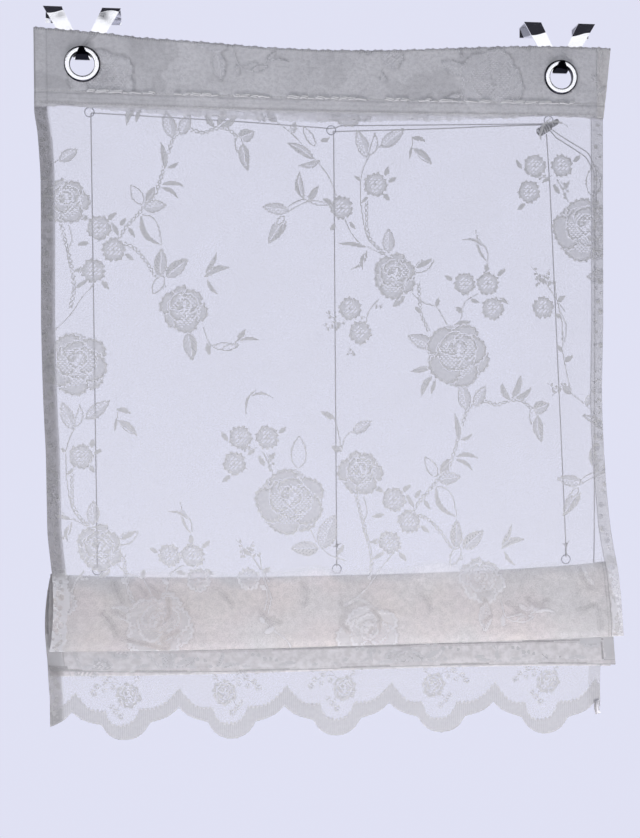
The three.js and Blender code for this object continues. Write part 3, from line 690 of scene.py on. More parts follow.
def knot(name, at, r, tails):
    """A small overhand knot: a few tight turns of the cord, with its short free ends."""
    x, y, z = at
    turns = []
    t = np.linspace(0, 1, 34)
    turns.append(np.stack([x + (r * 0.62) * np.sin(2 * PI * 1.6 * t), y + r * 0.62 * np.cos(2 * PI * 1.6 * t), z + r * (1.0 - 2.0 * t)], -1))
    turns.append(np.stack([x + r * 0.66 * np.sin(2 * PI * t), y + r * 0.55 * np.cos(2 * PI * t), z + r * 0.35 * np.sin(2 * PI * t + 0.8)], -1))
    turns.append(np.stack([x + r * 0.5 * np.cos(2 * PI * t), y - r * 0.2 + r * 0.45 * np.sin(2 * PI * t), z + r * 0.8 * np.sin(2 * PI * t)], -1))
    for tail in tails:
        turns.append(spline_points([(x, y, z)] + [(x + a, y + b, z + c) for a, b, c in tail], n=6))
    return tube(name, turns, 0.5, CORD_LOOK, sides=7)


cords = []
for _name, _ring, _knot_z, _top, _tails in (
    ("lift_cord_left", RINGS_LOW[0], -545.0, LEFT_TOP, [[(-2.0, 0.3, 1.2), (-4.2, 0.2, 3.4)], [(1.6, -0.4, 2.0), (3.4, -0.4, 4.6)]]),
    ("lift_cord_centre", RINGS_LOW[1], -549.0, CENTRE_TOP, [[(2.2, 0.2, 0.6), (4.8, 0.3, 2.2)], [(-1.8, -0.4, -0.9), (-3.9, -0.3, -0.8)]]),
    ("lift_cord_right", RINGS_LOW[2], -553.0, RIGHT_TOP, [[(-1.9, 0.2, 0.9), (-4.0, 0.2, 1.0)], [(1.8, -0.3, 1.6), (3.0, -0.3, 4.0)]]),
):
    _rx, _ry, _rz = _ring
    _bar = _rz + 5.35 - 0.65
    _k = 1.7
    _loop = rounded([[_rx, _ry + 0.2, _knot_z, 3], [_rx, _ry - _k, _knot_z - 9, 6], [_rx, _ry - _k, _bar + 0.4, 3]])
    for _i in range(13):
        _a = PI * _i / 12
        _loop.append(Vector((_rx, _ry - _k * math.cos(_a), _bar - _k * math.sin(_a))))
    _loop += rounded([[_rx, _ry + _k, _bar + 0.4, 3], [_rx, _ry + _k, _knot_z - 9, 6], [_rx, _ry + 0.2, _knot_z + 0.2, 3]])
    _run = rounded([[_rx, _ry + 0.2, _knot_z, 3]] + _top)
    _line = tidy(list(reversed(_run)) + _loop)
    _obj, _length = cord_curve(_name + "_line", _line)
    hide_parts(_name)
    _tie = knot(_name + "_knot", (_rx, _ry + 0.1, _knot_z), 1.9, _tails)
    tuple(q * MM for q in _line[0])
    cords.append((_name, _length))

KNOT = (288.4, -1.9, -196.0)
STRAND_A = [
    on_lock(13.6, -LOCK_R - 0.3, 1.0), [248.2, 7.0, -118.2, 8], [262.6, 1.9, -128.6, 20], [279.0, -0.9, -140.0, 16],
    [287.6, -1.6, -156, 16], [KNOT[0] - 1.2, KNOT[1], KNOT[2] + 5, 20], [KNOT[0], KNOT[1], KNOT[2], 6],
]
STRAND_B = [
    on_lock(15.0, -LOCK_R + 0.05 - 0.3, -1.6), [251.6, 4.8, -116.0, 8], [263.4, 0.5, -124.6, 20], [281.6, -1.3, -135.6, 16],
    [289.9, -1.7, -154, 16], [KNOT[0] + 1.3, KNOT[1], KNOT[2] + 8, 20], [KNOT[0] + 1.1, KNOT[1], KNOT[2] + 2.3],
]
DOWN = [
    [*KNOT, 6], [KNOT[0], -2.6, -260, 120], [KNOT[0], -2.8, -480, 120], [KNOT[0], -2.4, -552, 60],
    [288.4, -0.8, -586, 40], [288.4, -0.8, -612, 40], [288.4, -1.0, -644.8],
]
_line = rounded(STRAND_A) + rounded(DOWN)
# nine turns in three by three rows round (280, -650)
_coil = []
for _turn, (_r, _y) in enumerate([(8.4, -1.0), (8.4, -2.2), (8.4, -3.4), (7.2, -3.4), (7.2, -2.2), (7.2, -1.0), (6.0, -1.0), (6.0, -2.2), (6.0, -3.4)]):
    _nr, _ny = ([(8.4, -1.0), (8.4, -2.2), (8.4, -3.4), (7.2, -3.4), (7.2, -2.2), (7.2, -1.0), (6.0, -1.0), (6.0, -2.2), (6.0, -3.4)] + [(6.0, -3.4)])[_turn + 1]
    for _i in range(28):
        _a = 2 * PI * _i / 28
        _w = max(0.0, (_i - 22) / 6)
        _rr, _yy = lerp(_r, _nr, _w), lerp(_y, _ny, _w)
        _coil.append(Vector((280 + _rr * math.cos(_a), _yy, -650 - _rr * math.sin(_a))))
_line = tidy(_line + _coil)
pull_a, _len_a = cord_curve("pull_cord_line", _line)
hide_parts("pull_cord_a", "pull_cord_coil")
_joint = knot("pull_cord_joint", KNOT, 1.8, [[(1.4, 0.2, -2.0), (2.6, 0.2, -6.0)]])
_tie = tube("pull_cord_tie", [
    [(280 + 7.2 * math.cos(_b) + 2.9 * math.cos(_t) * math.cos(_b), -2.2 + 2.9 * math.sin(_t), -650 - 7.2 * math.sin(_b) - 2.9 * math.cos(_t) * math.sin(_b)) for _t in np.linspace(0, 2 * PI, 20)]
    for _b in (1.9, 2.03)
], 0.32, CORD_LOOK, sides=7)
tuple(q * MM for q in _line[0])
_line_b = tidy(rounded(STRAND_B))
pull_b, _len_b = cord_curve("pull_strand_line", _line_b)
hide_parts("pull_cord_b")
tuple(q * MM for q in _line_b[0])
cords += [("pull_cord_a", _len_a), ("pull_cord_b", _len_b)]
print("cords", cords)

# ------------------------------------------------------------------ lace drawing
CELL = 1.1


class Canvas:
    """Cells of the lace, in the flat cloth: 0 open net, 1 light, 2 half, 3 solid."""

    def __init__(self, c0, c1, v0, v1, cell=CELL):
        self.c0, self.v0, self.cell = c0, v0, cell
        self.a = np.zeros((int((v1 - v0) / cell) + 1, int((c1 - c0) / cell) + 1), np.uint8)
        i, j = np.mgrid[: self.a.shape[0], : self.a.shape[1]]
        self.hatch = (i % 2 == 0) & ((j + 2 * ((i // 2) % 2)) % 4 < 2)

    def window(self, x, y, r):
        i0 = max(0, int((y - r - self.v0) / self.cell))
        i1 = min(self.a.shape[0], int((y + r - self.v0) / self.cell) + 2)
        j0 = max(0, int((x - r - self.c0) / self.cell))
        j1 = min(self.a.shape[1], int((x + r - self.c0) / self.cell) + 2)
        if i0 >= i1 or j0 >= j1:
            return None
        ys = self.v0 + (np.arange(i0, i1) + 0.5) * self.cell
        xs = self.c0 + (np.arange(j0, j1) + 0.5) * self.cell
        X, Y = np.meshgrid(xs - x, ys - y)
        return self.a[i0:i1, j0:j1], self.hatch[i0:i1, j0:j1], X, Y

    def teeth(self, phi, count, size):
        return size * (np.abs(np.mod(phi * count / PI, 2) - 1) - 0.5) * 2

    def petal(self, x, y, r, out=0.0, squash=1.0, solid=0.15, within=None, saw=0.0):
        """A petal that points towards out: a dense rim, a lighter body, openwork towards the heart."""
        w = self.window(x, y, r * 1.3 * max(1.0, squash) + 3)
        if w is None:
            return
        a, hatch, X, Y = w
        s = (X * math.cos(out) + Y * math.sin(out)) / r
        t = (-X * math.sin(out) + Y * math.cos(out)) / (r * squash)
        rho = np.hypot(s, t)
        phi = np.arctan2(t, s)
        edge = 1 + 0.06 * np.cos(3 * phi + out) + self.teeth(phi, max(5, int(r * 1.15)), saw / r)
        ok = np.ones_like(rho, bool) if within is None else (a > 0)
        inside = ok & (rho < edge)
        a[ok & (rho < edge + 0.9 / r) & (rho >= edge)] = 1
        a[inside] = 5
        a[inside & (rho > edge - 2.4 / r)] = 3
        bowl = inside & (s + 0.5 * t * t < solid) & (rho < edge - 2.3 / r)
        a[bowl] = 5
        a[bowl & hatch] = 0

    def rose(self, x, y, r, turn=0.3, lobed=0.0):
        w = self.window(x, y, r * 1.25 + 4)
        if w is None:
            return
        a, hatch, X, Y = w
        phi = np.arctan2(Y, X) - turn
        rho = np.hypot(X, Y)
        edge = r * (0.80 + 0.04 * np.cos(5 * phi) + (0.03 + lobed * 0.5) * np.cos(3 * phi + 1.0)) + self.teeth(phi, int(r * 1.1), 0.8)
        a[rho < edge + 1.0] = 0
        a[rho < edge] = 5
        count = 7 if r > 28 else 6
        for k in range(count):
            g = turn + 2.4 * k if count % 2 else turn + 2 * PI * (2 * k + (k >= 3)) / count
            size = 0.40 + 0.045 * math.sin(2.3 * k + turn)
            reach = 0.59 + 0.05 * math.cos(1.7 * k + 2 * turn)
            self.petal(x + reach * r * math.cos(g), y + reach * r * math.sin(g), size * r, g + 0.3 * math.sin(1.9 * k), 1.22, (0.30, -0.40, 0.10, 0.35, -0.25, 0.20, -0.15)[k], None, 0.9)
        for k in range(4):
            g = turn + 0.6 + 2 * PI * k / 4 + 0.2 * math.sin(3 * k)
            self.petal(x + 0.30 * r * math.cos(g), y - 0.05 * r + 0.28 * r * math.sin(g), (0.33 + 0.03 * math.sin(2 * k)) * r, g, 1.3, (0.1, -0.4, 0.3, -0.2)[k], True, 0.5)
        for k in range(3):
            g = turn + 1.1 + 2 * PI * k / 3
            self.petal(x + 0.13 * r * math.cos(g), y - 0.09 * r + 0.12 * r * math.sin(g), 0.19 * r, g, 1.3, 0.15, True, 0.0)
        self.dot(x + 0.03 * r, y - 0.10 * r, 0.13 * r, 2)
        for k in range(5):
            g = turn + 2.4 * k
            q = r * (0.06 + 0.035 * k)
            self.dot(x + q * math.cos(g), y - 0.09 * r + q * math.sin(g), 0.045 * r + 0.4, (0, 3, 0, 0, 3)[k])

    def blossom(self, x, y, r, turn=0.0):
        w = self.window(x, y, r + 3)
        if w is None:
            return
        a, hatch, X, Y = w
        i, j = np.mgrid[: a.shape[0], : a.shape[1]]
        phi = np.arctan2(Y, X) - turn
        rho = np.hypot(X, Y)
        edge = r * (0.84 + 0.15 * np.abs(np.cos(2.5 * phi)) ** 0.6) + self.teeth(phi, max(9, int(r * 1.15)), 1.0)
        a[rho < edge + 0.7] = 0
        a[rho < edge] = 3
        a[rho < edge - 2.4] = 5
        for k in range(5):
            g = turn + (k + 0.5) * 2 * PI / 5
            along, across = X * math.cos(g) + Y * math.sin(g), np.abs(-X * math.sin(g) + Y * math.cos(g))
            a[(across < 0.6) & (along > 0.55 * r) & (along < 0.80 * r)] = 2
        heart = rho < r * (0.54 + 0.08 * np.cos(3 * phi + 1.0))
        a[heart] = 5
        a[heart & ((i + j) % 4 < 2) & (i % 4 != 3)] = 0
        a[rho < 0.10 * r] = 3

    def dot(self, x, y, r, level=3):
        w = self.window(x, y, r + 1)
        if w is not None:
            w[0][np.hypot(w[2], w[3]) < r] = level

    def leaf(self, base, tip, width, fill=3, teeth=5, veins=True, bend=0.0):
        """fill 3 close-worked, 2 one half open, 1 only outlined."""
        bx, by = base
        dx, dy = tip[0] - bx, tip[1] - by
        length = math.hypot(dx, dy)
        w = self.window(bx + dx / 2, by + dy / 2, length * 0.62 + width * 0.6 + abs(bend) * length)
        if w is None or length < 1:
            return
        a, hatch, X, Y = w
        ex, ey = dx / length, dy / length
        s = (X * ex + Y * ey) / length + 0.5
        t = -X * ey + Y * ex
        t = t - bend * length * np.sin(PI * np.clip(s, 0, 1))
        sc = np.clip(s, 0, 1)
        half = width / 2 * np.sin(PI * sc**0.82) ** 0.8 + (0.9 if width > 5 else 0.4) * (np.abs(np.mod(sc * length / 1.7, 2) - 1) - 0.5)
        in_len = (s > 0.0) & (s < 1.0)
        inside = in_len & (np.abs(t) < half)
        a[in_len & (np.abs(t) < half + 0.9)] = 0
        a[inside] = 3 if fill > 1 else 0
        if fill > 1 and width > 6:
            a[inside & (np.abs(t) < half - 1.6) & (t > 0)] = 5
        if fill == 1:
            a[inside & (np.abs(t) > half - 1.5)] = 3
            a[inside & (np.abs(t) < half - 1.5) & hatch] = 1
        elif fill == 2:
            open_half = inside & (t < -0.3) & (np.abs(t) < half - 1.3)
            a[open_half] = 2
            a[open_half & hatch] = 0
        if veins and fill > 1:
            side = np.mod(s * length - 1.3 * np.abs(t), 4.6)
            a[inside & (side < 0.9) & (np.abs(t) < half - 1.2)] = 2
            a[inside & (np.abs(t) < 0.55) & (s > 0.12) & (s < 0.85)] = 1

    def stem(self, pts, width=1.5, level=3, twin=0.0, wavelength=13.0):
        p = spline_points(pts, step=0.5)
        if len(p) < 3:
            return
        strands = [p]
        if twin:
            t = np.gradient(p, axis=0)
            n = np.stack([-t[:, 1], t[:, 0]], -1) / (np.linalg.norm(t, axis=1, keepdims=True) + 1e-9)
            s = np.concatenate([[0], np.cumsum(np.linalg.norm(np.diff(p, axis=0), axis=1))])
            sway = twin * np.cos(2 * PI * s / wavelength)[:, None]
            strands = [p + n * sway, p - n * sway]
        k = int(math.ceil(width / 2 / self.cell)) + 1
        for q in strands:
            j = (q[:, 0] - self.c0) / self.cell - 0.5
            i = (q[:, 1] - self.v0) / self.cell - 0.5
            for di in range(-k, k + 1):
                for dj in range(-k, k + 1):
                    ci, cj = np.round(i).astype(int) + di, np.round(j).astype(int) + dj
                    near = np.hypot(ci - i, cj - j) * self.cell < width / 2 + 0.05
                    ok = near & (ci >= 0) & (cj >= 0) & (ci < self.a.shape[0]) & (cj < self.a.shape[1])
                    self.a[ci[ok], cj[ok]] = level

    def sprig(self, pts, dot=1.5, gap=4.2, level=3):
        """A thin stalk with small beads on both sides."""
        self.stem(pts, 1.1, 2)
        p = spline_points(pts, step=0.5)
        s = np.concatenate([[0], np.cumsum(np.linalg.norm(np.diff(p, axis=0), axis=1))])
        t = np.gradient(p, axis=0)
        for m, d in enumerate(np.arange(gap, s[-1] + 0.1, gap)):
            q = int(np.searchsorted(s, d))
            q = min(q, len(p) - 1)
            n = np.array((-t[q, 1], t[q, 0])) / (np.linalg.norm(t[q]) + 1e-9)
            side = 1 if m % 2 else -1
            self.dot(p[q, 0] + side * 1.9 * n[0], p[q, 1] + side * 1.9 * n[1], dot, level)
        self.dot(p[-1, 0], p[-1, 1], dot * 1.1, level)


def flat_at(px, py):
    """Where a place of the view lies on the flat cloth."""
    drop = 0.0
    while py > 640:
        py -= 544
        drop += 562.0
    while py < 96:
        py += 544
        drop -= 562.0
    a, b = (px - 320) / 300, (py - 370) / 270
    c = -11.06 + 321.71 * a - 3.57 * b + 9.48 * a * a - 0.6 * a * b - 8.36 * b * b - 8.64 * b**3 - 6.36 * a * b * b
    v = 275.66 + 0.67 * a + 279.69 * b + 0.02 * a * a + 8.42 * a * b - 0.58 * b * b
    return c, v + drop


def draw_unit(cv, at):
    """One repeat of the flowered ground. at() turns a place in the repeat into cloth coordinates."""
    K = 1.04

    def stems(width, twin, wave, *lines):
        for pts in lines:
            cv.stem([at(*p) for p in pts], width, 3, twin, wave)

    def thin(*lines):
        for pts in lines:
            cv.stem([at(*p) for p in pts], 1.1, 3)

    # stems first, so that flowers lie over them
    stems(1.1, 1.5, 11, 
        ((440, 476), (449, 467), (455, 450), (461, 430), (467, 412), (473, 405)),
        ((476, 404), (486, 402), (498, 405), (510, 401), (522, 401), (532, 409)),
        ((412, 513), (420, 501), (428, 492), (438, 480)),
        ((410, 514), (427, 519), (440, 532), (450, 547), (460, 560)),
        ((356, 496), (361, 515), (367, 538), (370, 560), (367, 580)),
        ((366, 198), (366, 216), (367, 232), (373, 244), (384, 254)),
        ((418, 284), (419, 300), (421, 315), (428, 331)),
    )
    thin(
        ((364, 498), (367, 512), (363, 526), (366, 540)),
        ((352, 602), (366, 588), (378, 570), (390, 556), (394, 545)),
        ((341, 452), (345, 438), (353, 431)), ((341, 450), (339, 436), (335, 419)),
        ((381, 146), (372, 153), (364, 166), (360, 181), (360, 200), (362, 216), (366, 235), (373, 246), (386, 256)),
        ((344, 219), (350, 232), (359, 243), (371, 249), (382, 255)),
        ((408, 290), (421, 302), (435, 307), (441, 315), (446, 324)),
        ((378, 300), (369, 311), (365, 326)), ((477, 294), (464, 303), (460, 321)),
        ((553, 281), (556, 301), (561, 325), (562, 350), (566, 371), (571, 390)),
        ((558, 310), (565, 326), (564, 342)),
        ((308, 524), (317, 543), (328, 555), (343, 561)), ((262, 452), (268, 463), (273, 474)),
        ((244, 549), (251, 557), (259, 570), (268, 583)),
        ((277, 122), (292, 134), (307, 151), (324, 171), (332, 186), (337, 201)),
        ((286, 212), (289, 206), (303, 200), (316, 205), (332, 205)), ((286, 213), (300, 205), (314, 201), (334, 207)),
        ((204, 328), (211, 345), (223, 350), (234, 344), (239, 340), (250, 338), (259, 341)),
        ((213, 346), (226, 343), (238, 345)),
        ((412, 137), (413, 149), (421, 159), (430, 164)),
        ((487, 263), (486, 250), (478, 239), (475, 231)),
        ((245, 413), (248, 400), (257, 390)), ((248, 398), (262, 394), (273, 398)),
        ((436, 487), (446, 489), (453, 498), (457, 517)),
    )
    for base, tip, width, fill, bend in (
        # the long branch
        ((437, 477), (425, 457), 12, 1, 0.0), ((441, 474), (449, 459), 8, 3, 0.0), ((438, 480), (461, 477), 13, 2, 0.0),
        ((459, 441), (455, 414), 6, 3, 0.05), ((461, 440), (473, 434), 3.5, 3, 0.1), ((456, 457), (479, 459), 4.5, 3, -0.12), ((456, 460), (473, 471), 4.0, 3, -0.12),
        ((467, 410), (462, 383), 14, 2, 0.0), ((475, 407), (486, 386), 12, 2, 0.0),
        ((510, 400), (502, 383), 6, 3, -0.1), ((513, 398), (521, 375), 7, 3, 0.08), ((516, 399), (532, 388), 6, 3, 0.1),
        ((533, 411), (550, 404), 13, 3, 0.0), ((533, 408), (534, 428), 9, 1, 0.0), ((538, 416), (542, 443), 11, 3, 0.05),
        # round the first rose
        ((436, 486), (458, 518), 5.5, 3, 0.22), ((414, 508), (406, 494), 4.5, 3, 0.0), ((424, 500), (430, 510), 4, 3, 0.0),
        ((455, 549), (457, 520), 13, 3, 0.0), ((462, 549), (483, 531), 14, 3, 0.0), ((459, 548), (448, 567), 11, 1, 0.0),
        ((500, 549), (525, 540), 6.5, 3, -0.12), ((501, 545), (512, 524), 4.5, 2, 0.06), ((503, 552), (514, 567), 4, 3, 0.12),
        ((189, 333), (193, 361), 14, 3, 0.0), ((208, 344), (210, 356), 5, 3, 0.0), ((222, 350), (240, 345), 7, 1, 0.0), ((238, 341), (246, 330), 5.5, 3, 0.0), ((240, 341), (260, 341), 3.5, 3, -0.1),
        # blossoms' small leaves
        ((384, 492), (372, 487), 5, 3, 0.0), ((402, 492), (411, 485), 5, 3, 0.0), ((383, 541), (370, 543), 5.5, 3, 0.0), ((398, 553), (405, 562), 5, 3, 0.0), ((384, 515), (372, 517), 4.5, 3, 0.0), ((421, 526), (429, 533), 4.5, 3, 0.0), ((415, 498), (421, 490), 4.5, 3, 0.0),
        # bud, and the leaves over the second rose
        ((353, 433), (372, 421), 11, 2, 0.0), ((335, 419), (321, 412), 5.5, 3, 0.0), ((341, 451), (331, 447), 6, 3, 0.0), ((372, 560), (384, 552), 4, 3, 0.0),
        # large rose
        ((298, 469), (299, 436), 17, 1, 0.0), ((321, 549), (335, 515), 19, 2, 0.0), ((318, 549), (290, 549), 15, 3, 0.0), ((336, 556), (344, 545), 4.5, 3, 0.0), ((264, 466), (258, 456), 5, 3, 0.0), ((268, 462), (275, 453), 4.5, 3, 0.0),
        # three blossoms at the edge
        ((227, 441), (221, 432), 4.5, 3, 0.0), ((279, 434), (286, 427), 4.5, 3, 0.0), ((246, 414), (258, 389), 2.6, 3, -0.16), ((252, 396), (272, 397), 2.4, 3, -0.14), ((255, 449), (247, 455), 4.5, 3, 0.0), ((230, 476), (222, 482), 5, 3, 0.0),
        # side stalk with beads
        ((556, 302), (564, 296), 5, 3, 0.0), ((560, 318), (553, 314), 4.5, 3, 0.0), ((562, 352), (556, 345), 5, 3, 0.0), ((564, 362), (573, 356), 5.5, 3, 0.0), ((251, 556), (240, 549), 5, 3, 0.0),
        # centre top
        ((367, 158), (357, 130), 13, 2, 0.0), ((369, 156), (375, 133), 8, 1, 0.1), ((381, 147), (405, 129), 13, 2, 0.0), ((360, 181), (354, 176), 3.5, 3, 0.0), ((361, 203), (368, 197), 3.5, 3, 0.0),
        ((413, 149), (432, 165), 6.5, 3, -0.10), ((412, 138), (426, 142), 5, 3, -0.1), ((412, 146), (409, 160), 3.0, 3, 0.0),
        ((367, 248), (337, 244), 4.0, 3, 0.05), ((367, 250), (350, 270), 3.6, 3, -0.18), ((364, 254), (363, 271), 4.0, 3, 0.15),
        ((388, 253), (388, 229), 13, 2, 0.0), ((413, 272), (434, 260), 12, 1, 0.0), ((416, 268), (432, 259), 5, 3, 0.0), ((404, 297), (392, 307), 7, 3, 0.0), ((436, 307), (438, 298), 4.5, 3, 0.0), ((421, 313), (414, 307), 4.5, 3, 0.0),
        ((385, 176), (388, 167), 5, 3, 0.0), ((388, 182), (396, 178), 4.5, 3, 0.0), ((383, 194), (389, 201), 5, 3, 0.0), ((331, 203), (322, 199), 4.5, 3, 0.0), ((335, 224), (330, 231), 4.5, 3, 0.0), ((349, 222), (355, 230), 4, 3, 0.0),
        # largest rose
        ((434, 347), (407, 336), 14, 2, 0.0), ((430, 368), (411, 372), 6, 3, 0.0), ((432, 377), (422, 397), 6.5, 3, 0.1), ((436, 380), (431, 395), 4, 3, 0.0), ((462, 313), (455, 307), 5.5, 3, 0.0), ((470, 300), (479, 303), 4.5, 3, 0.0), ((452, 328), (470, 322), 8, 3, 0.0),
        ((487, 263), (477, 231), 2.8, 3, -0.13), ((483, 247), (462, 240), 2.8, 3, 0.13), ((486, 272), (486, 263), 5, 3, 0.0), ((497, 276), (505, 269), 4.5, 3, 0.0), ((499, 298), (507, 304), 4.5, 3, 0.0), ((452, 281), (444, 276), 4.5, 3, 0.0),
        # hanging spray
        ((313, 159), (287, 143), 9, 3, 0.05), ((320, 161), (298, 166), 6.5, 2, -0.08), ((315, 147), (303, 126), 9, 1, 0.0), ((320, 141), (330, 138), 4.5, 3, 0.1), ((303, 199), (299, 172), 9, 3, -0.10), ((308, 201), (318, 186), 7, 3, 0.0),
        ((288, 211), (262, 207), 12, 2, 0.0), ((285, 218), (268, 244), 13, 3, 0.0), ((284, 216), (276, 226), 7, 1, 0.0), ((277, 122), (268, 114), 8, 3, 0.0), ((292, 134), (296, 122), 7, 2, 0.0),
    ):
        cv.leaf(at(*base), at(*tip), width * K, fill, 5, width > 8, bend)
    # beads on short stalks
    for pts in (
        ((325, 312), (333, 318), (338, 326)), ((322, 325), (330, 328), (338, 328)), ((350, 346), (349, 353), (354, 355)), ((345, 320), (339, 326)),
        ((531, 268), (537, 275), (536, 285)), ((548, 270), (545, 278), (553, 284)), ((541, 276), (548, 284)), ((548, 384), (556, 389), (565, 385)), ((553, 396), (560, 390)),
        ((551, 176), (544, 178), (538, 176)), ((561, 182), (566, 190), (565, 198)), ((383, 304), (376, 308)), ((366, 318), (359, 316)),
    ):
        cv.sprig([at(*p) for p in pts], 1.5, 3.8)
    for x, y, r, turn in (
        (394, 500, 12.5, 0.2), (409, 522, 12, 0.9), (389, 543, 12, 0.5), (240, 438, 12, 0.1), (267, 438, 12, 0.7), (234, 464, 12, 0.4),
        (464, 284, 11.5, 0.3), (487, 284, 12, 0.8), (492, 309, 12, 0.1), (350, 309, 12, 0.6), (360, 333, 12, 0.2), (375, 185, 12.5, 0.0), (341, 208, 12, 0.5), (542, 308, 11.5, 0.9),
    ):
        cv.blossom(*at(x, y), r * K, turn)
    for x, y, r, turn, lobed in (
        (184, 308, 23.5, 0.3, 0.0), (78, 362, 31, 0.9, 0.06), (360, 472, 22.5, 0.1, 0.0), (394, 275, 23, 0.7, 0.0), (457, 353, 33, 0.4, 0.06), (291, 500, 34, 1.1, 0.05),
    ):
        cv.rose(*at(x, y), r * K, turn, lobed)


def draw_ground(cv, shift=(0.0, 0.0)):
    for q in range(-2, 6):
        for p in range(-3, 4):
            if (p + q) % 2:
                continue
            draw_unit(cv, lambda x, y, p=p, q=q: tuple(np.add(flat_at(x + 295 * p, y + 272 * q), shift)))


LACE = Canvas(-300, 300, 0, V_END)
draw_ground(LACE)

# the border: plain scalloped band with fine upright ribs, a toothed inner edge, and a sprig in each scallop
X_OF_C = lambda c: lerp(TAIL[0], TAIL[1], (c + 300) / 600)
C_OF_X = lambda x: (x - TAIL[0]) / (TAIL[1] - TAIL[0]) * 600 - 300
V_OF_Z = lambda z: V_TAIL + (-716.0 - z)
INNER_PEAKS = [(-375.0, -697.0), (-262.1, -696.7), (-156.3, -695.1), (-45.0, -695.7), (66.0, -696.3), (178.2, -700.0), (288.3, -700.4), (400.0, -701.0)]
INNER_LOW = [(-319.0, -731.0), (-217.4, -731.4), (-105.9, -733.5), (6.8, -733.5), (115.1, -736.4), (226.7, -741.6), (344.0, -742.0)]
INNER = np.array([(0, 0), (0.12, 0.6), (0.20, 3.0), (0.27, 8.0), (0.30, 12.0), (0.33, 16.5), (0.42, 16.0), (0.55, 16.4), (0.68, 18.5), (0.80, 23.5), (0.90, 29.0), (1.0, 36.0)])


def inner_edge(x):
    out = np.full_like(x, -999.0)
    for i, (lx, lz) in enumerate(INNER_LOW):
        for px, pz in (INNER_PEAKS[i], INNER_PEAKS[i + 1]):
            part = (x >= min(lx, px)) & (x <= max(lx, px))
            s = np.abs(x - lx) / abs(px - lx)
            up = np.interp(s, INNER[:, 0], INNER[:, 1]) / 36.0
            out = np.where(part, lz + (pz - lz) * up, out)
    return out


_rows, _cols = LACE.a.shape
_cc = -300 + (np.arange(_cols) + 0.5) * CELL
_vv = (np.arange(_rows) + 0.5) * CELL
_top = V_OF_Z(-662.0)
LACE.a[_vv > _top] = 0
for _i, (_lx, _lz) in enumerate(INNER_LOW[1:6]):
    _f = 1 if _i % 2 == 0 else -1
    _cx = C_OF_X(_lx + (9 if _f > 0 else -4))
    _cv0 = V_OF_Z(-700.0)

    def _p(dx, dz):
        return (_cx + _f * dx * 1.04, _cv0 - dz * 1.04)

    for _pts in (((-4, 8), (-14, 13), (-26, 10), (-34, 5)), ((4, 8), (10, 18), (9, 28)), ((-8, -8), (-13, -16)), ((-10, 14), (-20, 21), (-32, 21))):
        LACE.stem([_p(*q) for q in _pts], 1.1, 2)
    for _k, _q in enumerate(((-15, 8), (-22, 14), (-24, 5), (-31, 9), (-35, 3), (-18, 19), (-27, 22), (-34, 20), (9, 15), (13, 22), (6, 22), (9, 29), (-13, -16), (-8, -21), (-17, -11))):
        LACE.blossom(*_p(*_q), 2.9 + 0.5 * math.sin(2.1 * _k), 0.5 * _k)
        LACE.dot(*_p(*_q), 0.8, 1)
    LACE.blossom(*_p(-13, 27), 7.5, 0.3)
    LACE.blossom(*_p(2, 27), 7.5, 0.8)
    LACE.rose(*_p(0, 0), 13.0, 0.4 + 0.2 * _i)
_tail_part = _vv > V_OF_Z(-690.0)
_X = X_OF_C(_cc)
_inner = inner_edge(_X)
_tooth = np.where((np.arange(_cols) // 2) % 2, 0.0, 1.3)
_Z = -716.0 - (_vv - V_TAIL)
_band = (_Z[:, None] < (_inner + _tooth)[None]) & (_Z[:, None] > scallop_edge(_X)[None] + 0.3) & _tail_part[:, None]
LACE.a[_band] = np.broadcast_to(np.where(np.arange(_cols) % 2 == 0, 10, 11), LACE.a.shape)[_band]
_rim = _band & ((_Z[:, None] > (_inner + _tooth)[None] - 1.3) | (_Z[:, None] < scallop_edge(_X)[None] + 1.7))
LACE.a[_rim] = 3
for _v in np.arange(V_OF_Z(-676.0), V_OF_Z(-728.0), 4.5):
    LACE.dot(-290.5 - float(RNG.uniform(0, 8)), float(_v), float(RNG.uniform(1.0, 2.8)), 3)
LACE.a[(_Z[:, None] < scallop_edge(_X)[None] + 0.3) & _tail_part[:, None]] = 0

_n0 = len(CLOTH.v) - 17 - 180  # first row of the folds


def leg_v(k, z):
    """v of a height z on the straight piece after fold k."""
    a = _n0 + 30 * k + 9
    zs = CLOTH.p[a : a + 21, 150, 2]
    vs = CLOTH.v[a : a + 21]
    return float(np.interp(z, zs[::-1], vs[::-1]) if zs[0] > zs[-1] else np.interp(z, zs, vs))


def stroke(pts, width, level):
    LACE.stem([flat_at(*p) for p in pts], width, level)


def block(c0, c1, v0, v1, level, ragged=0.0, only_open=False):
    """A strip of cells; ragged cuts its inner edge unevenly."""
    c, v = np.meshgrid(_cc, _vv)
    wob = ragged * (0.7 * np.sin(v / 6.1) + 0.35 * np.sin(v / 1.9 + 1.0) + 0.8 * np.sin(v / 15.7 + 0.5))
    if c0 < 0:
        ok = (c >= c0) & (c <= c1 + wob)
    else:
        ok = (c >= c0 + wob) & (c <= c1)
    ok &= (v >= v0) & (v <= v1)
    if only_open:
        ok &= LACE.a == 0
    LACE.a[ok] = level


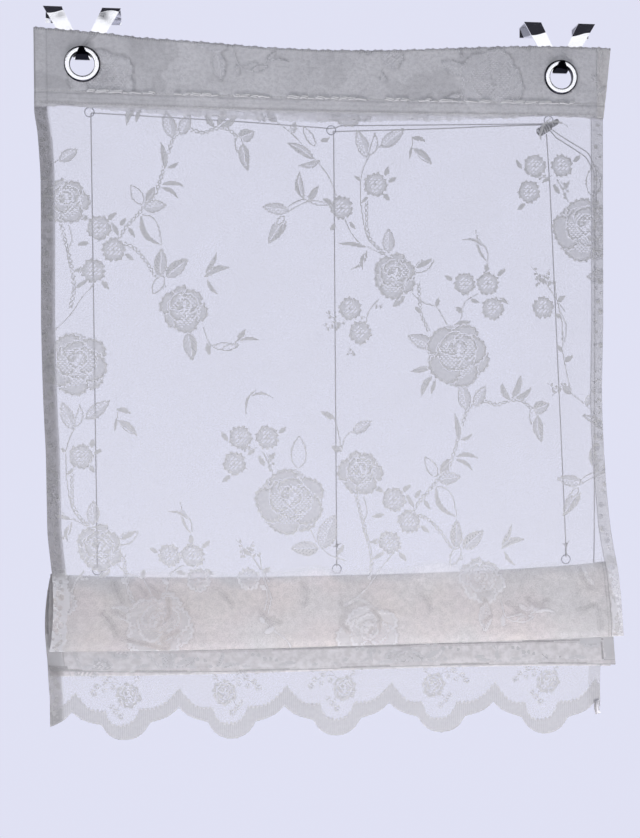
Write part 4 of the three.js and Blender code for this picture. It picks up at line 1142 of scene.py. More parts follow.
V_CREASE = float(np.interp(578.0, -CLOTH.p[:100, 150, 2], CLOTH.v[:100]))
# painted crease shade on the folded front: a soft dark band (8) and a narrow dark line (6) along each crease
for _pts, _wd in (
    (((103, 614), (108, 619), (115, 626), (124, 638)), 2.4), (((113, 584), (116, 593), (121, 603)), 2.0), (((150, 588), (157, 593), (158, 598)), 1.2),
    (((168, 600), (170, 612), (169, 620)), 1.6), (((136, 586), (142, 591), (146, 598)), 1.1), (((114, 612), (120, 614), (125, 617)), 1.2),
    (((130, 640), (150, 642), (168, 640), (182, 632)), 1.3), (((214, 590), (224, 596), (232, 606)), 1.2), (((262, 612), (270, 620), (282, 624)), 1.4),
    (((300, 584), (306, 594), (304, 606)), 1.3), (((340, 604), (346, 612), (345, 624), (352, 632)), 1.6), (((372, 610), (380, 618), (382, 628)), 1.2),
    (((420, 596), (428, 604), (430, 612)), 1.1), (((483, 600), (487, 608), (490, 616), (486, 622)), 1.6), (((507, 604), (515, 610), (521, 611), (526, 615)), 1.2),
    (((526, 600), (532, 605), (537, 606), (546, 601)), 1.5), (((577, 569), (579, 577), (585, 585), (592, 589)), 1.6), (((577, 612), (586, 610), (594, 606), (599, 616), (602, 630)), 1.4),
):
    stroke(_pts, _wd + 4.0, 8)
    stroke(_pts, _wd * 0.8, 6)
# painted highlights: paler, denser strokes beside some creases
for _pts, _wd in ((((520, 607), (526, 610), (531, 608)), 3.4), (((581, 569), (584, 577), (590, 584)), 3.0), (((485, 606), (489, 614)), 3.4), (((132, 612), (140, 606), (152, 604), (162, 608)), 1.8), (((156, 630), (166, 628), (174, 620)), 2.0), (((345, 606), (356, 600), (368, 604)), 1.8)):
    stroke(_pts, _wd + 1.5, 2)
# painted shadow outlines: a ring of dark cells (8) round each flower in the folded rows
_flower = LACE.a > 0
_grown = _flower.copy()
_grown[1:] |= _flower[:-1]
_grown[:-1] |= _flower[1:]
_grown[:, 1:] |= _flower[:, :-1]
_grown[:, :-1] |= _flower[:, 1:]
_fold_rows = (_vv > V_CREASE + 8) & (_vv < float(CLOTH.v[_n0]) + 4)
LACE.a[_grown & ~_flower & _fold_rows[:, None]] = 8
# bunched places of the turned hems: dense dots, light dots and dots of painted shade
for _side in (-1, 1):
    for _v in np.arange(8, V_CREASE - 8, 7.5 if _side < 0 else 12.0):
        for _k in range(3):
            LACE.dot(_side * (289.5 + float(RNG.uniform(0, 9))), _v + float(RNG.uniform(0, 7)), float(RNG.uniform(0.9, 3.2)), (3, 6, 1)[_k])
_f0, _f1 = V_CREASE - 6, float(CLOTH.v[_n0]) + 2
block(-300, -285.5, _f0, _f1, 7, 1.6)
block(288.5, 300, _f0, _f1, 7, 1.2)
# painted shadow lines along the hems' inner edges
block(286.2, 287.4, _f0, _f1, 9)
block(282.6, 283.7, _f0, _f1, 6)
block(286.0, 287.2, 6, _f0, 9)
block(-287.2, -286.2, 40, _f0, 9)
# painted shadow under the front fold's lower edge: a soft band (8) and a dark line (9)
for _j, _c in enumerate(_cc):
    if abs(_c) > 299:
        continue
    _f = (_c + 300) / 600
    _za = float(fold_z(FOLDS[0], np.array([_f]))[0])
    for _wide, _level in ((3.6, 8), (1.5, 9)):
        _va = leg_v(1, _za - 1.2)
        LACE.a[(_vv > _va) & (_vv < _va + _wide), _j] = _level
# painted shadow along the second fold's lower edge, with an uneven upper side
_two = float(CLOTH.v[_n0 + 64])
_lead = 5.2 + 1.3 * np.sin(_cc / 31.0) + 0.9 * np.sin(_cc / 12.0 + 1.0)
_c2, _v2 = np.meshgrid(_cc, _vv)
LACE.a[(_v2 > _two - _lead[None]) & (_v2 < _two - 1.0)] = 8
LACE.a[(_v2 > _two - 2.6 - 0.9 * np.sin(_cc / 17.0)[None]) & (_v2 < _two + 0.4)] = 9
# mottled hems in the folds: half-dense dots and some dots of painted shade (8)
for _side in (-1, 1):
    for _v in np.arange(_f0, _f1, 2.6):
        LACE.dot(_side * (290.0 + float(RNG.uniform(0, 9))), float(_v), float(RNG.uniform(1.4, 3.2)), (2, 2, 8, 2)[int(RNG.integers(0, 4))])
# painted shade on the left ends of the inner layers
block(-300, -280, V_FRONT + 16, leg_v(1, -640.0), 9)
block(-300, -281, leg_v(1, -690.0), leg_v(3, -640.0), 9)
# second fold: pale hems, a pale strip, and lines of painted shadow along the hems' inner edges
block(288.5, 300, leg_v(1, -640), leg_v(1, -681), 7, 1.4)
block(262.0, 286.0, leg_v(1, -652.0), leg_v(1, -657.5), 7, 2.0)
block(285.6, 287.8, leg_v(1, -655.0), leg_v(1, -681), 9)
block(-300, -285, leg_v(1, -640), leg_v(1, -672), 7, 2.0)
block(-284.5, -283.0, leg_v(1, -652), leg_v(1, -672), 6)
for _k in range(26):
    _c = -262 + 21.0 * _k + 9 * math.sin(3.7 * _k)
    _z = -671.5 + 3.0 * math.sin(2.1 * _k)
    LACE.leaf((_c, leg_v(1, _z)), (_c + 9 + 5 * math.sin(5.1 * _k), leg_v(1, _z - 2.2 * math.sin(1.3 * _k))), 3.6, 3, 3, False)
for _c0, _c1, _z0, _z1 in ((-196, -172, -655, -662), (-170, -140, -660, -666), (-238, -222, -656, -663), (20, 44, -657, -662), (96, 128, -655, -661), (188, 210, -660, -667), (-90, -66, -660, -667)):
    for _t in np.linspace(0, 1, 5):
        LACE.dot(_c0 + (_c1 - _c0) * _t, leg_v(1, _z0 + (_z1 - _z0) * _t + 1.2 * math.sin(9 * _t)), 2.4 - 1.1 * abs(_t - 0.4), 7)
# cover of each kind of cell: 4 and 5 bodies and ribs, 6 dark lines of painted crease shade, 7 pale thick places, 8 and
# 9 painted shadow; SHADE is the painted shade each kind adds
LEVELS = np.array([0.0, 0.12, 0.42, 0.86, 0.56, 0.56, 0.24, 0.60, 0.11, 0.42, 0.60, 0.68])
SHADE = np.array([0, 0, 0, 0, 0, 0, 1.0, 0.0, 1.0, 1.0, 0, 0])


def soft_mask(a, times=2):
    m = (a > 0) * np.where(a == 3, 1.0, 0.7)
    for _ in range(times):
        p = np.pad(m, 1, mode="edge")
        m = (p[:-2, 1:-1] + p[2:, 1:-1] + p[1:-1, :-2] + p[1:-1, 2:] + 2 * p[1:-1, 1:-1]) / 6
    return m


def runs(a, most=10):
    """Level runs along the rows: (row, first, last + 1, level)."""
    out = []
    for i in range(a.shape[0]):
        row = a[i]
        if not row.any():
            continue
        cut = np.flatnonzero(np.diff(row)) + 1
        starts = np.concatenate([[0], cut])
        ends = np.concatenate([cut, [len(row)]])
        for s, e in zip(starts, ends):
            lv = row[s]
            if lv:
                for k in range(s, e, most):
                    out.append((i, k, min(k + most, e), lv))
    return np.array(out)


def lace_overlay(name, cv, at, part, mat=None, extra=None, faint=None):
    r = runs(np.where(part, cv.a, 0))
    c0, c1 = cv.c0 + r[:, 1] * cv.cell, cv.c0 + r[:, 2] * cv.cell
    v0, v1 = cv.v0 + r[:, 0] * cv.cell, cv.v0 + (r[:, 0] + 1) * cv.cell
    c = np.stack([c0, c1, c1, c0], -1)
    v = np.stack([v0, v0, v1, v1], -1)
    pts = at(c, v)
    flat = np.stack([c, v, np.zeros_like(c)], -1).reshape(-1, 3) * MM
    faces = np.arange(len(r) * 4).reshape(-1, 4)
    table = {"flat": flat}
    if extra:
        for key, fn in extra.items():
            table[key] = fn(c, v).reshape(-1)
    # painted shade of the dark kinds of cell, added to the grey attribute
    cell_shade = SHADE[r[:, 3]]
    table["grey"] = np.clip(table.get("grey", np.zeros(len(r) * 4)) + np.repeat(cell_shade, 4), 0, 1)
    dens = LEVELS[r[:, 3]] * (1.0 if faint is None else np.where((r[:, 3] < 6) | (r[:, 3] > 9), faint(c, v).mean(1), 1.0))
    obj = mesh_object(name, pts.reshape(-1, 3), faces, mat or MOTIF, smooth_faces=True, values=table, face_values={"dens": dens})
    print(name, len(r) * 2, "triangles")
    return obj


# ------------------------------------------------------------------ the lace panel
V_HANG = V_OF_Z(-676.0)


def zone(v, a, b, soft=6.0):
    return smooth((v - a + soft / 2) / soft) * (1 - smooth((v - b + soft / 2) / soft))


def wander(c):
    return 2.5 * np.sin(c / 23.0) + 1.8 * np.sin(c / 9.7 + 1.0) + 1.4 * np.sin(c / 41.0 + 2.0)


def thick_at(c, v):
    hem = smooth((np.abs(c) - 286.6) / 0.8)
    inside = zone(v, V_FRONT + 14, V_OF_Z(-620.0), 8.0)
    front = zone(v, V_CREASE + wander(c), V_FRONT + 14, 7.0)
    back = zone(v, V_OF_Z(-620.0), V_HANG, 10.0)
    height = CLOTH.at(c, v)[..., 2]
    t = 0.93 * inside * lerp(0.30, 1.0, smooth((-height - 574) / 13)) + 0.34 * front + 0.35 * back
    side = np.where(c < 0, 0.58, np.where(v > V_HANG - 10, 0.10, 0.33))
    return np.clip(np.maximum(t, hem * side), 0, 0.97)


def warm_at(c, v):
    inner = zone(v, V_FRONT + 8, leg_v(1, -625.0), 10.0) + 0.4 * zone(v, leg_v(1, -688.0), V_HANG, 6.0)
    face = zone(v, V_CREASE + 9 + 2.5 * wander(c), V_FRONT + 12, 10.0)
    second = zone(v, leg_v(1, -625.0), leg_v(1, -688.0), 6.0)
    high = smooth((-CLOTH.at(c, v)[..., 2] - 579) / 9)
    return np.clip(0.8 * inner * high + 0.95 * face + 0.22 * second, 0, 1)


# Painted shade of the lace: on the side hems, on the far ends and inner layers of the folds, on the second fold and the
# tail, and darker towards the left of the folded front.
def painted_shade_at(c, v):
    hem = smooth((np.abs(c) - 286.6) / 0.8) * (1 - zone(v, V_CREASE, V_HANG, 8))
    ends = smooth((np.abs(c) - 284) / 8) * zone(v, V_FRONT + 14, V_HANG, 8)
    ends = ends * np.where(c < 0, 1.0, 0.15) * (1 - 0.65 * zone(v, leg_v(1, -640.0), leg_v(1, -688.0), 6))
    second = 0.28 * zone(v, V_FRONT + 20, V_OF_Z(-620.0), 8) + 0.16 * zone(v, leg_v(1, -640.0), leg_v(1, -688.0), 6) + 0.44 * smooth((v - V_HANG + 6) / 8)
    return np.clip(hem * np.where(c < 0, np.where(v > V_HANG - 10, 0.30, 0.92), 0.0) + 0.85 * ends + second + 0.14 * smooth((-c - 60) / 140) * zone(v, V_CREASE, V_FRONT + 12, 8), 0, 1)


def flower_white(c, v):
    return np.clip(1.1 * zone(v, V_CREASE + 4, V_HANG, 12.0), 0, 1)


def flower_faint(c, v):
    """The flowers fade where three layers of lace lie together."""
    return 1.0 - 0.42 * zone(v, V_CREASE + 6, V_FRONT + 8, 12.0) - 0.20 * zone(v, V_FRONT + 8, V_HANG, 10.0)


_main = np.concatenate([[-300, -299.2, -297, -293], np.linspace(-287.6, 287.6, 181), [293, 297, 299.2, 300]])
_cols_c = np.concatenate([[-286.8, -289.5, -293.5, -297.3, -299.3, -299.9], _main, [299.9, 299.3, 297.3, 293.5, 289.5, 286.8]])
_cols_o = np.concatenate([[0.55, 0.8, 0.85, 0.8, 0.65, 0.3], np.zeros(len(_main)), [0.3, 0.65, 0.8, 0.85, 0.8, 0.55]])
_C, _V = np.meshgrid(_cols_c, np.concatenate([CLOTH.v[:-13], np.linspace(V_TAIL, V_TAIL + 1, 13)]))
_foot = V_OF_Z(scallop_edge(X_OF_C(np.clip(_cols_c, -299.9, 299.9))))
_V[-13:] = V_TAIL + (_foot - V_TAIL)[None] * np.linspace(0, 1, 13)[:, None]
_O = np.broadcast_to(_cols_o, _C.shape)
_pts = CLOTH.at(_C, _V, _O)
_flat = np.stack([_C, _V, np.zeros_like(_C)], -1) * MM
panel = mesh_object(
    "lace_ground", _pts.reshape(-1, 3), grid_faces(*_C.shape), NET,
    values={"flat": _flat.reshape(-1, 3), "thick": thick_at(_C, _V).ravel(), "warm": warm_at(_C, _V).ravel(), "grey": painted_shade_at(_C, _V).ravel()},
)
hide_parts("lace_panel")
# the right corner of the tail, its tip turned over to the front, with painted shadow on the inner side of the turn
_cu, _cw = np.meshgrid(np.linspace(0, 1, 15), np.linspace(0, 1, 9), indexing="ij")
_cx = 286.6 + 5.6 * _cw + 1.8 * _cu - 1.2 * np.sin(PI * _cu)
_cz = -723.5 - 14.5 * _cu + 1.4 * _cw
_cy = float(CLOTH.p[-8, -4, 1]) - 0.5 - (0.4 + 3.4 * np.sin(PI * np.clip(_cw * 0.8 + 0.1, 0, 1))) * np.sin(PI * np.clip(_cu * 0.9 + 0.1, 0, 1)) ** 0.7
_corner_shadow = smooth((0.42 - _cw) / 0.12)
corner = mesh_object(
    "tail_corner", np.stack([_cx, _cy, _cz], -1).reshape(-1, 3), grid_faces(15, 9), NET,
    values={"flat": (np.stack([_cx, 1200 - _cz, _cx * 0], -1) * MM).reshape(-1, 3), "thick": np.full(_cx.size, 0.95), "warm": np.zeros(_cx.size), "grey": _corner_shadow.ravel()},
)
_rest = np.ones(LACE.a.shape, bool)
_rest[_vv < 4] = False
_half = _vv < V_FRONT
LACE_SOFT = soft_mask(LACE.a, 3)


def face_up(c, v):
    i = np.clip((v / CELL).astype(int), 0, LACE_SOFT.shape[0] - 1)
    j = np.clip(((c + 300) / CELL).astype(int), 0, LACE_SOFT.shape[1] - 1)
    raised = LACE_SOFT[i, j] * zone(v, V_CREASE + 4, V_FRONT + 6, 8.0)
    return CLOTH.at(c, v, -0.16 - 0.9 * raised)


roses = lace_overlay("lace_flowers", LACE, face_up, _rest & _half[:, None], extra={"warm": flower_white, "grey": painted_shade_at}, faint=flower_faint)
roses_folded = lace_overlay("lace_flowers_folded", LACE, face_up, _rest & ~_half[:, None], extra={"warm": flower_white, "grey": painted_shade_at}, faint=flower_faint)

# ------------------------------------------------------------------ the heading
BAND = np.array([
    (-297.4, -21.2, -101.1), (-284, -21.6, -100), (-271.3, -22.4, -98.8), (-249.5, -23.6, -99.8), (-226.5, -25, -101.6), (-190, -28.4, -104.4),
    (-126.8, -31, -107.2), (-64.3, -34.6, -108.9), (-7.3, -35.6, -109.7), (42.8, -34.6, -107.6), (80, -33, -106.4), (143.9, -28.8, -104.2),
    (190, -26, -100.8), (218.4, -24.8, -98.6), (249.5, -24.4, -97.4), (272, -24.3, -98.4), (304.4, -24.3, -100.6),
])
EYE_Z = -57.1


def seam_z(x):
    return -84.6 - 1.6 * np.cos(PI * x / 600)


def band_point(x, t, side):
    """t 0 at the top fold, 1 at the lower edge; side -1 front, 1 back."""
    top = np.interp(x, BAND[:, 0], BAND[:, 1])
    bottom = np.interp(x, BAND[:, 0], BAND[:, 2])
    z = lerp(top, bottom, t)
    seam = seam_z(x)
    thick = np.interp(z - seam, [-26, -8.5, -5.5, -3, 0, 2.2, 5], [1.0, 1.9, 2.6, 2.4, 1.7, 2.3, 2.4])
    thick = np.where(z > top - 2.4, np.sqrt(np.clip(1 - ((z - top + 2.0) / 2.0) ** 2, 0.05, 1)) * 2.4, thick)
    mid = -3.8 + bow_at(x)
    y = np.where(side < 0, mid - thick / 2, mid + np.minimum(thick, 2.4) / 2)
    slant = np.where(x > 272, lerp(0, 296.6 - 304.4, ((z - top) / (bottom - top)) * ((x - 272) / 32.4)), 0.0)
    return np.stack([x + slant, y, z], -1)


HEAD = Canvas(-298, 304, -112, -20)
_pix = Canvas(-298, 304, 20, 112)


def draw_heading(cv):
    """Cropped pieces of the same flowers."""
    def place(dx, dy):
        return lambda x, y: (flat_at(x, y)[0] + dx, flat_at(x, y)[1] + dy)
    for p, q, dx, dy in ((0, 0, 36.0, -196.0), (-2, 0, 36.0, -196.0), (2, 0, 36.0, -196.0), (-1, -1, 36.0, -196.0), (1, -1, 36.0, -196.0)):
        draw_unit(cv, lambda x, y, p=p, q=q, dx=dx, dy=dy: place(dx, dy)(x + 295 * p, y + 272 * q))


draw_heading(_pix)
HEAD_MASK = _pix.a




HEAD_SOFT = soft_mask(HEAD_MASK, 2)


def head_relief(x, z):
    """Raised flowers of the heading, 0 to 1."""
    i = np.clip(((-z - 20) / CELL).astype(int), 0, HEAD_SOFT.shape[0] - 1)
    j = np.clip(((x + 298) / CELL).astype(int), 0, HEAD_SOFT.shape[1] - 1)
    return HEAD_SOFT[i, j]


def head_folds(x, z):
    """Soft wrinkles of the heading: pulls round the eyelets, drags to the ends, ripples of the casing."""
    d = np.zeros_like(x)
    for ex, ph in ((-249.5, 0.4), (249.5, 1.1)):
        rho = np.hypot(x - ex, z - EYE_Z)
        th = np.arctan2(z - EYE_Z, x - ex)
        d += 0.55 * np.exp(-np.clip(rho - 17, 0, 99) / 11) * np.cos(6 * th + ph) * smooth((rho - 16) / 4)
    d += 0.30 * np.sin(x / 15.0 + 0.05 * z) * np.exp(-((z + 40) / 26) ** 2) * np.exp(-((x + 170) / 120) ** 2)
    d += 0.28 * np.sin(x / 21.0 - 0.06 * z + 1.0) * np.exp(-((z + 52) / 24) ** 2) * np.exp(-((x - 120) / 130) ** 2)
    d += 0.35 * np.sin(x / 5.1 + 0.8 * np.sin(x / 31.0)) * np.exp(-((z - seam_z(x) + 12) / 9) ** 2)
    d -= 0.55 * np.exp(-((z - seam_z(x)) / 1.1) ** 2) * -1
    return d


# Darkness of the heading cloth. Painted shade in the seam groove, under the seam and the lower stitch row, along the
# hem edges, at the far left end, round the raised flowers and along the folds, and darker towards the left; also darker
# along the top edge and on the casing, the second layer's flowers showing through, and lighter on the flowers
# themselves.
def head_tone_and_shade(x, z):
    s = z - seam_z(x)
    top = np.interp(x, BAND[:, 0], BAND[:, 1])
    casing = smooth((-s - 1.0) / 1.5) * smooth((s + 14) / 2)
    groove = np.exp(-(((s + 6.5) / 0.8) ** 2))
    under = np.exp(-(((s + 1.6) / 0.7) ** 2)) + 0.8 * np.exp(-(((s + 11.6) / 0.7) ** 2))
    hem = np.exp(-(((x + 285.0) / 0.8) ** 2)) + np.exp(-(((x - 288.8) / 0.8) ** 2))
    edge = smooth((z - top + 3.2) / 1.2)
    first, second = head_relief(x, z), head_relief(x + 61.0, z + 23.0)
    rim = np.clip(np.abs(head_relief(x + 1.1, z) - head_relief(x - 1.1, z)) + np.abs(head_relief(x, z + 1.1) - head_relief(x, z - 1.1)), 0, 1)
    body = smooth((s - 1) / 2)
    g = -0.05 + 0.08 * casing + 0.20 * groove + 0.42 * under + 0.35 * hem + 0.12 * edge + 0.27 * smooth((-x - 110) / 150) - 0.08 * smooth((x - 60) / 150)
    g = g + body * (0.24 * second + 0.52 * rim - 0.16 * first + 0.07)
    g = g - 0.13 * head_folds(x, z) * body
    lower = smooth((-s - 13) / 2)
    g = g * (1 - 0.7 * lower)
    g = g + 0.75 * smooth((-x - 295.6) / 1.2)
    return np.clip(g, 0, 1)


def head_thick(x, z, front):
    s = z - seam_z(x)
    lower = smooth((-s - 13) / 3)
    open_work = 0.42 + 0.13 * np.sin(x / 6.3) * np.sin(x / 2.9 + 1.0) + 0.10 * np.sin(x / 17.0 + 0.4 * z)
    return np.clip(lerp(0.90 if front else 0.86, open_work, lower), 0, 1)


_hx = np.linspace(-297.4, 304.4, 520)
_ht = np.linspace(0, 1, 62)
_X2, _T2 = np.meshgrid(_hx, _ht)
_fr = band_point(_X2, _T2, -1)
_bk = band_point(_X2, _T2, 1)
_fr[..., 1] += head_folds(_fr[..., 0], _fr[..., 2]) * smooth(_T2 / 0.06) * (1 - 0.6 * smooth((_T2 - 0.9) / 0.1)) * 0.8
_fr[..., 1] -= 0.75 * head_relief(_fr[..., 0], _fr[..., 2]) * smooth(_T2 / 0.05)
_ragged = 0.9 * np.sin(_hx / 1.9) + 0.9 * np.sin(_hx / 4.7 + 1.0) + 0.9 * np.sin(_hx / 11.0) + 0.5 * np.sin(_hx / 0.83)
_fr[-1, :, 2] += np.clip(1.2 * _ragged, -1.6, 3.0)
for _q, _share in ((0, 1.0), (1, 0.8), (2, 0.5), (3, 0.2)):  # fuzzy overcast top
    _fr[_q, :, 2] += _share * (0.45 * np.sin(_hx / 1.1) + 0.40 * np.sin(_hx / 2.9 + 2.0) + 0.25 * np.sin(_hx / 0.61 + 1.0))
_bk[..., 1] += 0.5 * head_folds(_bk[..., 0], _bk[..., 2]) * smooth(_T2 / 0.06) * 0.4
_loop = np.concatenate([_fr[::-1], _bk[1:]])
_vflat = np.concatenate([(_T2 * 80)[::-1] - 160, (_T2 * 80)[1:] + 300])
_ff = grid_faces(*_loop.shape[:2])
_lp = _loop.reshape(-1, 3)
_mid = _lp[_ff].mean(1)
_keep = np.ones(len(_ff), bool)
for _ex in (-249.5, 249.5):
    _keep &= np.hypot(_mid[:, 0] - _ex, _mid[:, 2] - EYE_Z) > 14.2
_isfront = np.concatenate([np.ones(_fr.shape[:2]), np.zeros((_bk.shape[0] - 1, _bk.shape[1]))]).astype(bool)
_hem = np.maximum(smooth((-_loop[..., 0] - 284.5) / 1.0), smooth((_loop[..., 0] - 288.5) / 1.0))
heading = mesh_object(
    "heading_cloth", _lp, _ff[_keep], BAND_CLOTH,
    values={
        "flat": np.stack([_loop[..., 0], _vflat, np.zeros_like(_vflat)], -1).reshape(-1, 3) * MM,
        "thick": np.clip(np.where(_isfront, head_thick(_loop[..., 0], _loop[..., 2], True), head_thick(_loop[..., 0], _loop[..., 2], False)) + 0.08 * _hem, 0, 1).ravel(),
        "warm": (0.25 * smooth((_loop[..., 0] - 288) / 3)).ravel(),
        "grey": head_tone_and_shade(_loop[..., 0], _loop[..., 2]).ravel(),
    },
)
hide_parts("heading_band")


def head_face(x, v):
    z = -v
    t = (z - np.interp(x, BAND[:, 0], BAND[:, 1])) / (np.interp(x, BAND[:, 0], BAND[:, 2]) - np.interp(x, BAND[:, 0], BAND[:, 1]))
    p = band_point(x, t, -1)
    p[..., 1] += head_folds(p[..., 0], p[..., 2]) * smooth(t / 0.06) * (1 - 0.6 * smooth((t - 0.9) / 0.1)) * 0.8 - 0.75 * head_relief(p[..., 0], p[..., 2]) * smooth(t / 0.05) - 0.16
    return p


_hv = 20 + (np.arange(_pix.a.shape[0]) + 0.5) * CELL
_hc = -298 + (np.arange(_pix.a.shape[1]) + 0.5) * CELL
_inband = (-_hv[:, None] < np.interp(_hc, BAND[:, 0], BAND[:, 1])[None] - 2.5) & (-_hv[:, None] > seam_z(_hc)[None] + 2.5)
for _ex in (-249.5, 249.5):
    _inband &= np.hypot(_hc[None] - _ex, -_hv[:, None] - EYE_Z) > 17.0
head_roses = lace_overlay("heading_flowers", _pix, head_face, _inband, extra={"warm": lambda c, v: np.full_like(c, 0.85), "grey": lambda c, v: np.zeros_like(c)}, faint=lambda c, v: np.full_like(c, 0.20))

# stitches of the seam, the casing and the top edge
_st = []
_bright = []


def stitch_row(z_of, x0, x1, step, length, lift, slope=0.0):
    for i, x in enumerate(np.arange(x0, x1, step)):
        jog = 0.15 * math.sin(7.1 * i)
        xs = np.array([x, x + length * 0.5, x + length])
        zs = z_of(xs) + jog + np.array([-slope, 0, slope]) * 0.5
        v = -zs
        p = head_face(xs, v)
        p[:, 1] -= np.array([lift * 0.3, lift, lift * 0.3])
        _st.append(spline_points(p, n=3))


stitch_row(lambda x: seam_z(x) + 0.5, -295, 299, 3.1, 2.4, 0.75)
for _x0, _x1 in ((-245, -182), (-158, -118), (-96, -64), (-42, 30), (60, 84), (96, 172), (184, 262)):
    _q = _x0
    while _q < _x1:
        _len = float(RNG.uniform(4.0, 14.0))
        _xs = np.linspace(_q, _q + _len, 5)
        _zs = seam_z(_xs) + 0.4 + 0.35 * np.sin(_xs / 2.3)
        _pp = head_face(_xs, -_zs)
        _pp[:, 1] -= np.array([0.5, 1.5, 1.7, 1.5, 0.5])
        _bright.append(spline_points(_pp, n=3))
        if RNG.random() < 0.6:
            _pp = head_face(_xs + 1.5, -(_zs + 1.5))
            _pp[:, 1] -= np.array([0.3, 0.9, 1.0, 0.9, 0.3])
            _bright.append(spline_points(_pp, n=3))
        _q += _len + float(RNG.uniform(-0.6, 1.6))
stitch_row(lambda x: seam_z(x) - 12.8 + 1.5 * np.abs(x) / 300, -292, 290, 3.3, 2.3, 0.55)
stitch_row(lambda x: np.interp(x, BAND[:, 0], BAND[:, 1]) - 1.9, -296, 302, 2.4, 1.0, 0.6, 2.6)
seam_lint = tube("heading_seam_thread", _bright, 0.90, WHITE_THREAD, sides=6)
head_stitches = tube("heading_stitches", _st, 0.36, STITCH, sides=5)

# ------------------------------------------------------------------ metal
SECTION = [  # radius, depth, how much painted dark reflection the rim gets
    (12.2, -3.0, 1), (12.2, -5.2, 1), (12.25, -6.8, 1), (12.4, -7.5, 1), (12.7, -7.82, 0.9), (12.95, -7.87, 0.0), (13.9, -7.89, 0), (14.9, -7.9, 0),
    (15.9, -7.89, 0), (16.75, -7.87, 0.0), (16.95, -7.8, 0.95), (17.5, -7.4, 1), (18.0, -6.6, 1), (18.2, -5.8, 1), (18.1, -5.35, 1), (17.4, -5.3, 1),
    (13.2, -5.3, 1), (13.2, -2.3, 0), (16.5, -2.3, 0), (16.6, -2.1, 0), (16.55, -1.6, 0), (16.3, -1.5, 0), (12.6, -1.5, 0.3), (12.3, -1.8, 1),
]
for _side, _ex in (("left", -249.5), ("right", 249.5)):
    _eye = lathe("eyelet_ring_" + _side, [q[:2] for q in SECTION], (_ex, 0, EYE_Z), (0, 1, 0), RIM, steps=128)
    _painted_dark = _eye.data.attributes.new("rim", "FLOAT", "POINT")
    _painted_dark.data.foreach_set("value", np.repeat([q[2] for q in SECTION], 128).astype(np.float32))
    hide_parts("eyelet_" + _side)
    _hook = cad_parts["hook_" + _side]
    _hook.data.materials.clear()
    _hook.data.materials.append(METAL)
    _bev = _hook.modifiers.new("edges", "BEVEL")
    _bev.width = 0.0003
    _bev.segments = 2
    _bev.limit_method = "ANGLE"
    _bev.angle_limit = 0.6

# ------------------------------------------------------------------ rings and lock


def torus(name, at, node, arc=(0, 2 * PI)):
    x, y, z = at
    a = np.linspace(arc[0], arc[1], 61)
    path = [(x + 4.7 * math.cos(t), y, z + 4.7 * math.sin(t)) for t in a]
    b = np.linspace(0, 2 * PI, 14, endpoint=False)
    ring = np.array([[(x + (4.7 + 0.62 * math.cos(w)) * math.cos(t), y + 0.62 * math.sin(w), z + (4.7 + 0.62 * math.cos(w)) * math.sin(t)) for w in b] for t in a[:-1]])
    faces = grid_faces(61, 14, close=True) % (60 * 14)
    obj = mesh_object(name, ring.reshape(-1, 3), faces, CLEAR)
    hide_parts(node)
    return obj


for _side, (_rx, _rz) in zip(("left", "centre", "right"), RINGS_TOP):
    torus("upper_ring_" + _side, (_rx, RING_Y, _rz), "ring_top_" + _side)
for _side, (_rx, _ry, _rz) in zip(("left", "centre", "right"), RINGS_LOW):
    torus("lower_ring_" + _side, (_rx, _ry, _rz), "ring_low_" + _side)

# third value of each profile point: how much painted shade the barrel gets there
_prof = [(0.0, 1.6, 1), (1.5, 1.5, 1), (1.7, 0.2, 1), (2.4, 0.0, 0), (3.4, 0.1, 0), (4.2, 0.7, 0.1), (4.6, 1.7, 0.7), (4.75, 2.6, 0.9)]
for _i in range(4):
    _a = 3.1 + _i * 2.9
    _prof += [(4.8, _a, 0.0), (4.82, _a + 1.1, 0.0), (4.5, _a + 1.7, 0.9), (4.35, _a + 2.1, 1.0), (4.7, _a + 2.6, 0.4)]
_prof += [(4.5, 14.9, 0.6), (3.9, 15.5, 1), (3.2, 16.0, 1), (3.05, 17.0, 0.4), (3.3, 18.2, 0.0), (3.05, 19.4, 0.9), (3.3, 20.8, 0.1), (3.05, 22.2, 0.9), (3.05, 24.6, 0.4), (2.8, 25.7, 0.9), (2.0, 26.3, 1), (0.9, 26.4, 1), (0.0, 26.4, 1)]
_groove = [q[2] for q in _prof]
_prof = [q[:2] for q in _prof]
lock = lathe("lock_barrel", _prof, tuple(LOCK_FOOT), tuple(LOCK_AXIS), SMOKE, steps=56, closed=False)
_painted_dark = lock.data.attributes.new("groove", "FLOAT", "POINT")
_painted_dark.data.foreach_set("value", np.repeat(_groove, 56).astype(np.float32))
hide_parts("cord_lock")

# ------------------------------------------------------------------ stage, world, lights
_f = bpy.data.meshes.new("floor")
_n = 12
_fv = [(-3 + 6 * i / _n, -3 + 6 * j / _n, -2.1) for j in range(_n + 1) for i in range(_n + 1)]
_f.from_pydata(_fv, [], grid_faces(_n + 1, _n + 1).tolist())
floor = bpy.data.objects.new("floor", _f)
scene.collection.objects.link(floor)
_fl = Look("floor_matt", Roughness=0.9)
_fl.put(_fl.bsdf.inputs["Base Color"], _fl.mix(_fl.noise(_fl.place(), 3.0), (0.70, 0.71, 0.74, 1), (0.74, 0.75, 0.78, 1)))
_f.materials.append(_fl.mat)

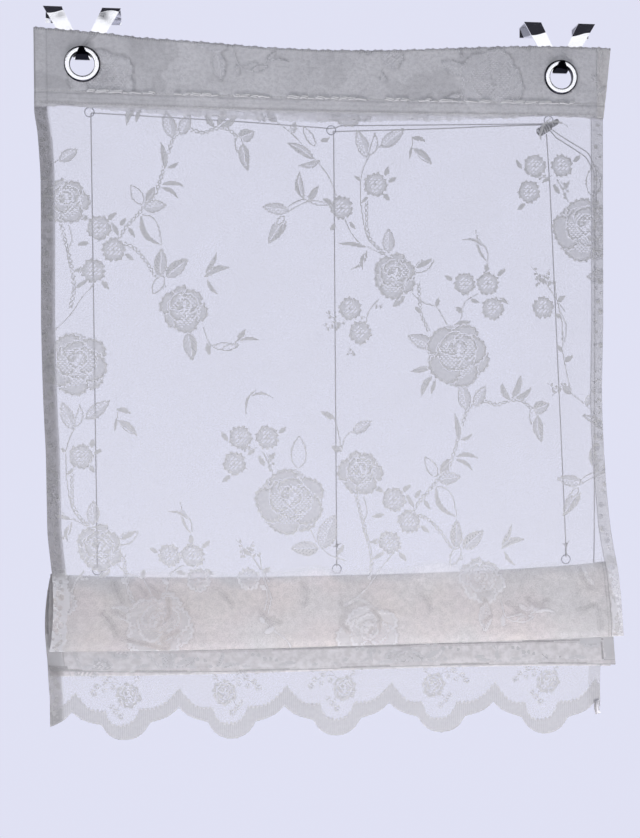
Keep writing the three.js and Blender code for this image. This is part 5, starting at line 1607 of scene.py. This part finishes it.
world = bpy.data.worlds.new("studio")
scene.world = world
world.use_nodes = True
wt = world.node_tree
wt.nodes.clear()
w_out = wt.nodes.new("ShaderNodeOutputWorld")
w_mix = wt.nodes.new("ShaderNodeMixShader")
w_light = wt.nodes.new("ShaderNodeBackground")
w_plain = wt.nodes.new("ShaderNodeBackground")
w_path = wt.nodes.new("ShaderNodeLightPath")
w_at = wt.nodes.new("ShaderNodeTexCoord")
w_sep = wt.nodes.new("ShaderNodeSeparateXYZ")
w_map = wt.nodes.new("ShaderNodeMapRange")
w_col = wt.nodes.new("ShaderNodeMix")
w_col.data_type = "RGBA"
w_map.interpolation_type = "SMOOTHSTEP"
for _i, _v in ((1, -0.35), (2, 0.55), (3, 0.0), (4, 1.0)):
    w_map.inputs[_i].default_value = _v
wt.links.new(w_at.outputs["Generated"], w_sep.inputs[0])
wt.links.new(w_sep.outputs[1], w_map.inputs[0])
wt.links.new(w_map.outputs[0], w_col.inputs[0])
w_col.inputs[6].default_value = (0.03, 0.03, 0.04, 1)
w_col.inputs[7].default_value = (0.745, 0.755, 0.90, 1)
wt.links.new(w_col.outputs[2], w_light.inputs[0])
w_plain.inputs[0].default_value = (0.745, 0.755, 0.90, 1)
wt.links.new(w_path.outputs["Is Camera Ray"], w_mix.inputs[0])
wt.links.new(w_light.outputs[0], w_mix.inputs[1])
wt.links.new(w_plain.outputs[0], w_mix.inputs[2])
wt.links.new(w_mix.outputs[0], w_out.inputs[0])


def softbox(name, at, aim, width, height, radiance, colour=(1, 1, 1)):
    data = bpy.data.lights.new(name, "AREA")
    data.shape = "RECTANGLE"
    data.size, data.size_y = width, height
    data.energy = radiance * PI * width * height
    data.color = colour
    obj = bpy.data.objects.new(name, data)
    scene.collection.objects.link(obj)
    obj.location = at
    obj.rotation_euler = (Vector(aim) - Vector(at)).to_track_quat("-Z", "Y").to_euler()
    obj.visible_camera = False
    return obj


softbox("soft_high", (0.14, -2.3, 0.22), (0.12, 0.0, -0.10), 2.7, 0.98, 1.22, (0.94, 0.95, 1.0))
softbox("soft_left", (-2.0, -1.5, 0.5), (0.0, 0.0, -0.4), 1.8, 1.8, 2.5, (0.94, 0.95, 1.0))
low_box = softbox("soft_low", (0.16, -0.5, -1.2), (0.10, 0.0, -0.62), 1.3, 0.25, 3.2, (1.0, 0.97, 0.975))
low_box.data.spread = 1.9

scene.view_settings.view_transform = "Standard"

bpy.context.view_layer.update()
